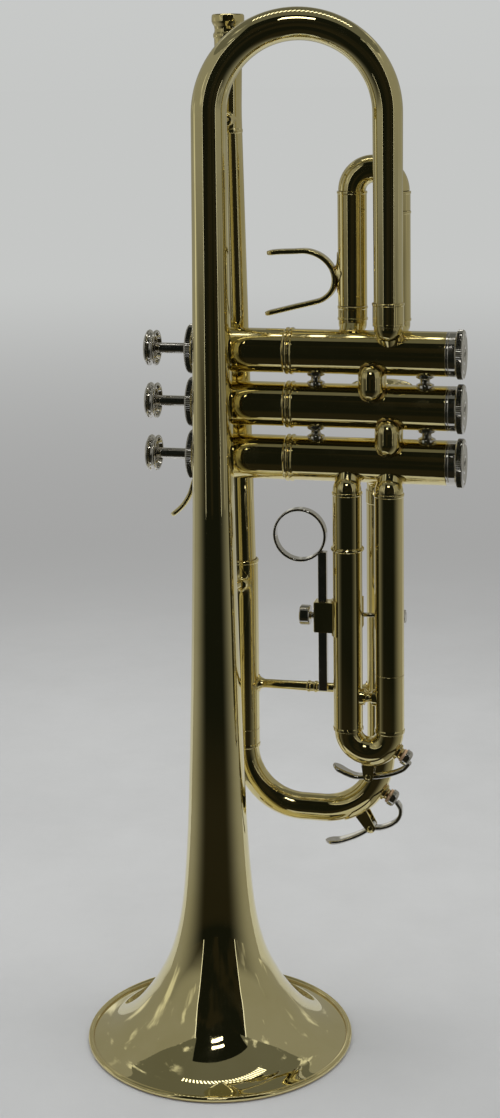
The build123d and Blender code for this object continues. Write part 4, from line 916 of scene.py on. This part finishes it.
def key_lever(key):
    """Leaf-shaped finger blade, hub, swept arm and the cup for the cork."""
    y = key["y"]
    shape = Shape()
    count = len(key["blade"])
    widths = [np.interp(i / (count - 1), (0, 0.25, 0.6, 1), (2.6, 3.6, 2.9, 2.2))
              for i in range(count)]
    shape.strap(key["blade"], widths, BLADE_T / 2, y, tip=4.0, tips=(True, False))
    shape.strap(key["arm"], (2.2,) * len(key["arm"]), ARM_T / 2, y, tips=(False, False))
    px, pz = key["pivot"]
    (bore, wall), half = HUB_R, HUB_HALF
    hub = [(bore, -half), (wall, -half), (wall, half), (bore, half)]
    shape.lathe(hub, (px, y, pz), Y, 48, fillet=0.2)
    center, out = key_axis(key)
    low = key["bend_r"] + CROOK_R + SPOUT_RISE + KEY_GAP + CORK_LENGTH * 0.45
    top, r = low + CUP_LENGTH, key["cup_r"]
    depth = low + CORK_LENGTH * 0.55 + 0.02
    cup = [(0, top), (r * 0.5, top), (r - 0.7, top - 0.25), (r - 0.1, top - 1.0), (r, top - 1.8),
           (r, low + 0.5), (r + 0.02, low), (r - 0.6, low), (r - 0.6, depth), (0, depth)]
    shape.lathe(cup, center, out, 64, wrap=False, fillet=0.35)
    shape.piece(f"{key['name']}_key_arm", key["key"], "nickel", f"{key['name']}_key_lever")


def key_cork(key):
    center, out = key_axis(key)
    low = key["bend_r"] + CROOK_R + SPOUT_RISE + KEY_GAP
    high, r = low + CORK_LENGTH, key["cup_r"] - 0.62
    cork = [(0, low), (r, low), (r, high), (0, high)]
    shape = Shape().lathe(cork, center, out, 64, wrap=False, fillet=0.2)
    shape.piece(f"{key['name']}_key_pad", key["key"], "cork", f"{key['name']}_key_cork")


# ================================ materials
SLOT_OF = {"brass_bell": "brass_lacquer"}
COARSE, MIDDLE, FINE, HAIR = 22.0, 90.0, 420.0, 1500.0      # noise scales, per metre

# tints of the clean metal, tint where pieces meet (also painted shade in crevices), roughness clean
# and handled, share of hairlines, bump of the ripple in millimetres, stretch of the grain along X, Y
# and Z
METALS = {
    "brass_lacquer": dict(tints=((0.80, 0.69, 0.33), (0.86, 0.75, 0.39)), joint_and_shade_tint=(0.30, 0.13, 0.04),
                          rough=(0.03, 0.09), hairs=0.08, ripple=0.012, grain=(1, 1, 0.12),
                          coat=0.3),
    "brass_bell": dict(tints=((0.80, 0.71, 0.37), (0.86, 0.77, 0.43)), joint_and_shade_tint=(0.30, 0.13, 0.04),
                       rough=(0.02, 0.07), hairs=0.06, ripple=0.010, grain=(0.1, 0.1, 1.6),
                       coat=0.3),
    "nickel": dict(tints=((0.66, 0.64, 0.60), (0.76, 0.74, 0.70)), joint_and_shade_tint=(0.14, 0.12, 0.09),
                   rough=(0.05, 0.16), hairs=0.10, ripple=0.008, grain=(1, 1, 1), coat=0.0),
    "nickel_silver": dict(tints=((0.64, 0.60, 0.52), (0.72, 0.69, 0.61)), joint_and_shade_tint=(0.20, 0.15, 0.09),
                          rough=(0.14, 0.28), hairs=0.30, ripple=0.006, grain=(1, 1, 0.05),
                          coat=0.0),
    "monel": dict(tints=((0.50, 0.47, 0.42), (0.60, 0.57, 0.52)), joint_and_shade_tint=(0.18, 0.15, 0.11),
                  rough=(0.22, 0.36), hairs=0.35, ripple=0.004, grain=(1.6, 0.2, 0.2), coat=0.0),
    "spring_steel": dict(tints=((0.48, 0.47, 0.45), (0.60, 0.59, 0.57)), joint_and_shade_tint=(0.12, 0.10, 0.08),
                         rough=(0.20, 0.34), hairs=0.25, ripple=0.004, grain=(1, 1, 1), coat=0.0),
}


class Nodes:
    """Short way to write a material's node tree; surfaces are mapped in object metres."""

    def __init__(self, name):
        self.made = bpy.data.materials.new(name)
        self.made.use_nodes = True
        self.tree = self.made.node_tree
        self.shader = self.tree.nodes["Principled BSDF"]
        self.place = self.add("ShaderNodeTexCoord").outputs["Object"]

    def add(self, kind, inputs=None, **settings):
        node = self.tree.nodes.new(kind)
        for key, value in settings.items():
            setattr(node, key, value)
        for key, value in (inputs or {}).items():
            self.put(node.inputs[key], value)
        return node

    def put(self, socket, value):
        if isinstance(value, bpy.types.NodeSocket):
            self.tree.links.new(value, socket)
        else:
            socket.default_value = value

    def noise(self, scale, detail=4.0, stretch=(1, 1, 1), turn=(0, 0, 0)):
        """Noise from 0 to 1, finer along the axes with a larger stretch."""
        place = self.add("ShaderNodeMapping",
                         {"Vector": self.place, "Scale": stretch, "Rotation": turn})
        noise = self.add("ShaderNodeTexNoise", {
            "Vector": place.outputs[0], "Scale": scale, "Detail": detail, "Roughness": 0.6})
        return noise.outputs["Fac"]

    def span(self, value, low, high, to_low=0.0, to_high=1.0):
        node = self.add("ShaderNodeMapRange", {
            "Value": value, "From Min": low, "From Max": high, "To Min": to_low,
            "To Max": to_high}, interpolation_type="SMOOTHSTEP")
        return node.outputs[0]

    def mix(self, share, a, b):
        node = self.add("ShaderNodeMix", data_type="RGBA")
        for socket, value in ((node.inputs["Factor"], share), (node.inputs[6], a),
                              (node.inputs[7], b)):
            self.put(socket, (*value, 1) if isinstance(value, tuple) else value)
        return node.outputs[2]

    def distance(self):
        """Distance from the object's origin."""
        return self.add("ShaderNodeVectorMath", {0: self.place}, operation="LENGTH").outputs[1]

    def math(self, operation, a, b):
        return self.add("ShaderNodeMath", {0: a, 1: b}, operation=operation).outputs[0]

    def bump(self, height, depth_mm, strength=1.0, under=None):
        inputs = {"Height": height, "Distance": depth_mm * MM, "Strength": strength}
        if under:
            inputs["Normal"] = under
        return self.add("ShaderNodeBump", inputs).outputs[0]


def metal(slot, tints, joint_and_shade_tint, rough, hairs, ripple, grain, coat):
    """Polished metal: uneven tint, dark joints with painted shade, worn edges, handling marks and
    hairlines.
    """
    n = Nodes(f"{slot}_look")
    tint = n.mix(n.span(n.noise(COARSE), 0.35, 0.65), *tints)
    worn = n.span(n.add("ShaderNodeNewGeometry").outputs["Pointiness"], 0.52, 0.60, 0.0, 0.35)
    tint = n.mix(worn, tint, tuple(min(1.0, c * 1.12) for c in tints[1]))
    # painted shade: occlusion darkens the colour towards the joint tint in crevices and where parts
    # meet
    near = n.add("ShaderNodeAmbientOcclusion", {"Distance": 1.6 * MM}, samples=6)
    speck = n.span(n.noise(FINE, 5.0), 0.30, 0.62, 0.55, 1.0)
    joint_and_shade = n.math("MULTIPLY", n.span(near.outputs["AO"], 0.30, 0.80, 0.85, 0.0), speck)
    n.put(n.shader.inputs["Base Color"], n.mix(joint_and_shade, tint, joint_and_shade_tint))
    marks = n.span(n.noise(MIDDLE, 6.0), 0.46, 0.72)
    lines = n.noise(HAIR, 2.0, grain)
    cross = n.noise(HAIR, 2.0, tuple(0.25 * g for g in grain), (0.5, 0.9, 0.3))
    hair = n.math("MAXIMUM", n.span(lines, 0.66, 0.74), n.span(cross, 0.70, 0.78))
    matt = n.span(marks, 0.0, 1.0, *rough)
    matt = n.math("ADD", matt, n.math("MULTIPLY", hair, hairs))
    matt = n.math("ADD", matt, n.math("MULTIPLY", joint_and_shade, 0.35))
    n.put(n.shader.inputs["Roughness"], matt)
    wave = n.bump(n.noise(MIDDLE, 3.0), ripple)
    n.put(n.shader.inputs["Normal"], n.bump(lines, ripple * 0.08, under=wave))
    n.shader.inputs["Metallic"].default_value = 1.0
    n.shader.inputs["Coat Weight"].default_value = coat
    n.shader.inputs["Coat Roughness"].default_value = 0.04
    return n.made


def cork():
    """Pressed bark with dark pores."""
    n = Nodes("cork_look")
    grain = n.span(n.noise(900, 6.0), 0.30, 0.70)
    pores = n.span(n.noise(700, 3.0), 0.62, 0.70)
    body = n.mix(grain, (0.36, 0.21, 0.11), (0.58, 0.40, 0.24))
    n.put(n.shader.inputs["Base Color"], n.mix(pores, body, (0.13, 0.07, 0.035)))
    n.put(n.shader.inputs["Roughness"], n.span(grain, 0, 1, 0.75, 0.92))
    n.put(n.shader.inputs["Normal"], n.bump(n.math("SUBTRACT", grain, pores), 0.15))
    return n.made


def felt():
    """Matted wool with a soft nap."""
    n = Nodes("felt_look")
    fibres = n.noise(1400, 8.0, (1, 0.4, 0.4))
    n.put(n.shader.inputs["Base Color"],
          n.mix(n.span(fibres, 0.3, 0.7), (0.30, 0.02, 0.02), (0.52, 0.07, 0.05)))
    n.put(n.shader.inputs["Roughness"], n.span(fibres, 0.3, 0.7, 0.85, 1.0))
    n.put(n.shader.inputs["Normal"], n.bump(fibres, 0.25))
    n.shader.inputs["Sheen Weight"].default_value = 0.4
    return n.made


OTHERS = {"cork": cork, "felt": felt}
MADE = {}


def material(slot):
    """The material of a slot, made when it is first asked for."""
    if slot not in MADE:
        MADE[slot] = OTHERS[slot]() if slot in OTHERS else metal(slot, **METALS[slot])
    return MADE[slot]


def finish_cad(record):
    """Give each CAD node that stays in view the procedural material of its slot."""
    for part in record["subparts"]:
        node = frame["nodes"][part["node"]]
        if not node.hide_render:
            node.data.materials.clear()
            node.data.materials.append(material(part["material_slot"]))


# ================================ stage
OPENING = (-27, 56)         # open front of the light tent, degrees from -Y towards +X
SHADE_LEFT = (-28, -100)    # degrees over which the table and the cloth brighten
SHADE_RIGHT = (42, 115)
TENT_R = 1.25
TENT_TOP = 1.3
APRON_R = 0.115             # where the table's reflection starts in front of the bell
FLOOR_R = 80
FLOOR_SIDES = 96
FLOOR_FADE = (0.3, 1.0)     # metres over which the board turns into the backdrop
HORIZON_FADE = (0.8, 3.4)   # metres over which the backdrop brightens
FOCAL_LENGTH = 60.74
LENS_SHIFT = (0.0102, -0.2585)
CAMERA_AT = (0.20801, -0.81631, 0.44449)
CAMERA_TURN, CAMERA_DIP, CAMERA_ROLL = 0.23459, 0.10139, -0.01126
AIM = (0.02, 0.0, 0.24)     # middle of the instrument, which the soft lights face
FLOOR_TONE = (0.43, 0.43, 0.43)
CORNER = (0.37, 0.37, 0.365)
HORIZON = (0.56, 0.57, 0.56)
ZENITH = (0.62, 0.635, 0.63)
UNLIT = (0.0075, 0.0085, 0.006)
# dark tone of the unlit table in front of the tent: painted shade
SHADED_TABLE = (0.017, 0.015, 0.009)
CLOTH = (0.27, 0.265, 0.235)
ROOF = (0.13, 0.13, 0.11)
CREASE = (0.75, 0.74, 0.66)


def stage_mesh(name, points, faces, look, seen=False):
    """Part of the studio; unless seen, only reflections show it."""
    mesh = bpy.data.meshes.new(name)
    mesh.from_pydata([tuple(point) for point in points], [], faces)
    mesh.materials.append(look)
    made = placed(name, mesh)
    if not seen:
        made.visible_camera = made.visible_diffuse = made.visible_shadow = False
    made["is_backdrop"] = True


def glow(name, shade, strength=1.0):
    """Material that only gives light; shade is a colour, or a function that mixes one."""
    n = Nodes(name)
    n.tree.nodes.remove(n.shader)
    color = shade(n) if callable(shade) else (*shade, 1)
    light = n.add("ShaderNodeEmission", {"Color": color, "Strength": strength})
    n.put(n.tree.nodes["Material Output"].inputs["Surface"], light.outputs[0])
    return n.made


def around_tent(angle, radius, height):
    """Point at an angle in degrees from -Y towards +X."""
    return (radius * sin(radians(angle)), -radius * cos(radians(angle)), height)


def band_faces(count):
    """Faces between two rows of count points."""
    return [(i, i + 1, count + i + 1, count + i) for i in range(count - 1)]


def floor():
    """Pale board that fades into the backdrop with distance."""
    n = Nodes("floor")
    far = n.distance()
    pale = tuple(c * 1.08 for c in FLOOR_TONE)
    n.put(n.shader.inputs["Base Color"],
          n.mix(n.span(n.noise(6.0, 6.0), 0.3, 0.7), FLOOR_TONE, pale))
    n.put(n.shader.inputs["Roughness"], n.span(n.noise(40.0), 0.3, 0.7, 0.55, 0.75))
    n.put(n.shader.inputs["Normal"], n.bump(n.noise(300.0), 0.05))
    back = n.add("ShaderNodeEmission")
    n.put(back.inputs["Color"], n.mix(n.span(far, *HORIZON_FADE), CORNER, HORIZON))
    fade = n.add("ShaderNodeMixShader", {
        "Fac": n.span(far, *FLOOR_FADE), 1: n.shader.outputs[0], 2: back.outputs[0]})
    n.put(n.tree.nodes["Material Output"].inputs["Surface"], fade.outputs[0])
    ring = [(*corner, 0) for corner in circle(FLOOR_R, FLOOR_SIDES)]
    stage_mesh("floor", ring, [tuple(range(FLOOR_SIDES))], n.made, seen=True)


def backdrop():
    """Plain wall that brightens upwards."""
    world = bpy.data.worlds.new("backdrop")
    bpy.context.scene.world = world
    world.use_nodes = True
    nodes, links = world.node_tree.nodes, world.node_tree.links
    height = nodes.new("ShaderNodeSeparateXYZ")
    links.new(nodes.new("ShaderNodeTexCoord").outputs["Generated"], height.inputs[0])
    span = nodes.new("ShaderNodeMapRange")
    span.inputs["From Min"].default_value = -0.02
    span.inputs["From Max"].default_value = 0.26
    links.new(height.outputs["Z"], span.inputs["Value"])
    blend = nodes.new("ShaderNodeMix")
    blend.data_type = "RGBA"
    links.new(span.outputs[0], blend.inputs["Factor"])
    blend.inputs[6].default_value = (*HORIZON, 1)
    blend.inputs[7].default_value = (*ZENITH, 1)
    links.new(blend.outputs[2], nodes["Background"].inputs["Color"])


def aside(n):
    """From 0 in front to 1 at the sides and behind."""
    place = n.add("ShaderNodeSeparateXYZ", {0: n.place}).outputs
    turn = n.math("ARCTAN2", place["X"], n.math("MULTIPLY", place["Y"], -1.0))
    turn = n.math("MULTIPLY", turn, 180 / pi)
    return n.math("MAXIMUM", n.span(turn, *SHADE_RIGHT), n.span(turn, *SHADE_LEFT))


def cloth_shade(n):
    """Creased cloth, with painted shade low down near the table in front."""
    lit = n.mix(n.span(n.noise(2.2, 3.0), 0.55, 0.72), CLOTH, CREASE)
    height = n.add("ShaderNodeSeparateXYZ", {0: n.place}).outputs["Z"]
    # painted shade: low down in front the cloth takes the shaded table's dark tone
    up = n.math("MAXIMUM", n.span(height, 0.0, 0.45), aside(n))
    return n.mix(up, SHADED_TABLE, lit)


def room_shade(n):
    """Unlit room with a little unevenness."""
    return n.mix(n.span(n.noise(1.6, 2.0), 0.45, 0.62), UNLIT, SHADED_TABLE)


def roof_shade(n):
    """Cloth that is creased towards its left and right."""
    creased = n.span(n.noise(2.6, 4.0), 0.56, 0.70)
    place = n.add("ShaderNodeSeparateXYZ", {0: n.place}).outputs["X"]
    outer = n.span(n.math("ABSOLUTE", place, 0.0), 0.42, 0.7)
    return n.mix(n.math("MULTIPLY", creased, outer), ROOF, CREASE)


def table_shade(n):
    """Painted shade: dark in front, darker with distance, and as bright as cloth at the sides."""
    dark = n.mix(n.span(n.distance(), 0.35, 0.6), SHADED_TABLE, UNLIT)
    return n.mix(aside(n), dark, CLOTH)


def tent_wall():
    """Cloth sides, with an unlit room behind the open front and a bright edge to each side."""
    low, high = OPENING
    for name, start, end, shade in (("cloth", high, 360 + low, cloth_shade),
                                    ("room", low, high, room_shade)):
        angles = np.linspace(start, end, 73)
        wall = [around_tent(a, TENT_R, z) for z in (0.0, TENT_TOP) for a in angles]
        stage_mesh(name, wall, band_faces(len(angles)), glow(name, shade))
    edge = glow("door_edge", (1, 1, 1), 1.3)
    for k, (start, end) in enumerate(((low - 1.1, low), (high, high + 1.1))):
        strip = [around_tent(a, TENT_R * 0.99, z) for z in (0.0, TENT_TOP) for a in (start, end)]
        stage_mesh(f"door_{k}", strip, band_faces(2), edge)


def tent_roof():
    """Creased cloth with an open part over the front."""
    ring = [around_tent(a, TENT_R, TENT_TOP) for a in range(0, 360, 5)]
    stage_mesh("roof", ring, [tuple(range(len(ring)))], glow("roof", roof_shade))
    gap = [(x, y, TENT_TOP - 0.01) for x, y in ((-0.55, -TENT_R), (1.0, -TENT_R),
                                                (0.85, -0.5), (-0.4, -0.5))]
    stage_mesh("open_roof", gap, [(0, 1, 2, 3)], glow("open_roof", UNLIT))


def table():
    """The table in front of the board, a dark sheet of painted shade that only reflections show."""
    angles = np.linspace(-110, 125, 48)
    sheet = [around_tent(a, r, 0.002) for r in (APRON_R, TENT_R) for a in angles]
    stage_mesh("table", sheet, band_faces(len(angles)), glow("table", table_shade))


def lamp_row(name, center, along, down, count, pitch, size, strength):
    """Row of small square lamps, as on a strip."""
    points, faces = [], []
    center, along, down = np.array(center), unit(along), unit(down)
    for i in range(count):
        middle = center + along * pitch * (i - (count - 1) / 2)
        base = len(points)
        for a, b in ((-1, -1), (1, -1), (1, 1), (-1, 1)):
            points.append(middle + along * size[0] / 2 * a + down * size[1] / 2 * b)
        faces.append(tuple(range(base, base + 4)))
    stage_mesh(name, points, faces, glow(name, (1.0, 0.98, 0.92), strength))


def soft_light(name, place, size, power):
    light = bpy.data.lights.new(name, "AREA")
    light.shape = "RECTANGLE"
    light.size, light.size_y = size
    light.energy = power
    made = placed(name, light)
    made.location = place
    made.rotation_euler = (Vector(AIM) - Vector(place)).to_track_quat("-Z", "Y").to_euler()
    made.visible_glossy = False


def lighting():
    backdrop()
    tent_wall()
    tent_roof()
    table()
    lamp_row("strip", (0.07, 0.09, 1.28), X, Y, 26, 0.038, (0.016, 0.17), 3.2)
    lamp_row("room_lamps", (0.16, -0.93, 1.24), (0, 1, 0.4), X, 2, 0.13, (0.05, 0.32), 9)
    soft_light("top", (0.0, 0.25, 1.5), (1.5, 0.9), 12)
    soft_light("left", (-1.2, 0.05, 0.7), (0.9, 1.2), 5)
    soft_light("right", (1.25, 0.1, 0.7), (0.9, 1.2), 5)
    bpy.context.scene.view_settings.view_transform = "Standard"


def camera():
    """Stands where the photographer stood, with the frame shifted down instead of tilted."""
    lens = bpy.data.cameras.new("camera")
    lens.lens = FOCAL_LENGTH
    lens.shift_x, lens.shift_y = LENS_SHIFT
    made = placed("camera", lens)
    made.location = CAMERA_AT
    turn = Matrix.Rotation(CAMERA_TURN, 3, "Z") @ Matrix.Rotation(pi / 2 - CAMERA_DIP, 3, "X")
    made.rotation_euler = (turn @ Matrix.Rotation(CAMERA_ROLL, 3, "Z")).to_euler()
    bpy.context.scene.camera = made


# ================================ the model
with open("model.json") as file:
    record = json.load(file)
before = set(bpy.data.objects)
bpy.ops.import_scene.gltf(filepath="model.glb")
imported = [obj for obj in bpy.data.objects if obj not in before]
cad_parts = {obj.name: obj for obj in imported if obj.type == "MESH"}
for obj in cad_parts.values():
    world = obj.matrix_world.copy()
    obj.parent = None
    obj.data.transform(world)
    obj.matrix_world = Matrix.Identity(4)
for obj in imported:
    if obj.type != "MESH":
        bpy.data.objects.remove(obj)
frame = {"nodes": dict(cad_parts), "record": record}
cad_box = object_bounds()

bell()
bell_rim()
tail_ferrule()
for number in VALVE_Z:
    valve_casing(number)
    valve_stem(number)
    finger_button(number)
top_caps()
bottom_caps()
casing_posts()
receiver()
leadpipe()
main_outer_tubes()
main_brace()
bell_braces()
pinky_hook()
main_bow()
main_legs()
first_fixed_tubes()
first_slide()
thumb_saddle()
second_slide()
third_fixed_tubes()
third_slide()
finger_ring()
thumbscrew("ring_screw_head", "ring_thumbscrew", "ring_screw", 0, THIRD_Y, SCREW_Z,
           RING_SCREW_HEAD, 4.65, 1.5, ROD_X - ROD_HALF - KEY_GAP)
thumbscrew("lyre_screw_head", "lyre_thumbscrew", "lyre_screw", 0, LYRE_Y, SCREW_Z - 1.4,
           LYRE_SCREW_HEAD, 3.3, 1.05, LYRE_SOCKET[1] + 0.2)
ring_clamp()
lyre_holder()
for key in KEYS:
    key_saddle(key)
    key_lever(key)
    key_cork(key)

finish_cad(frame["record"])
floor()
lighting()
camera()

boxes = [[list(corner) for corner in box] for box in (cad_box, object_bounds())]
dict(cad=boxes[0], visual=boxes[1])
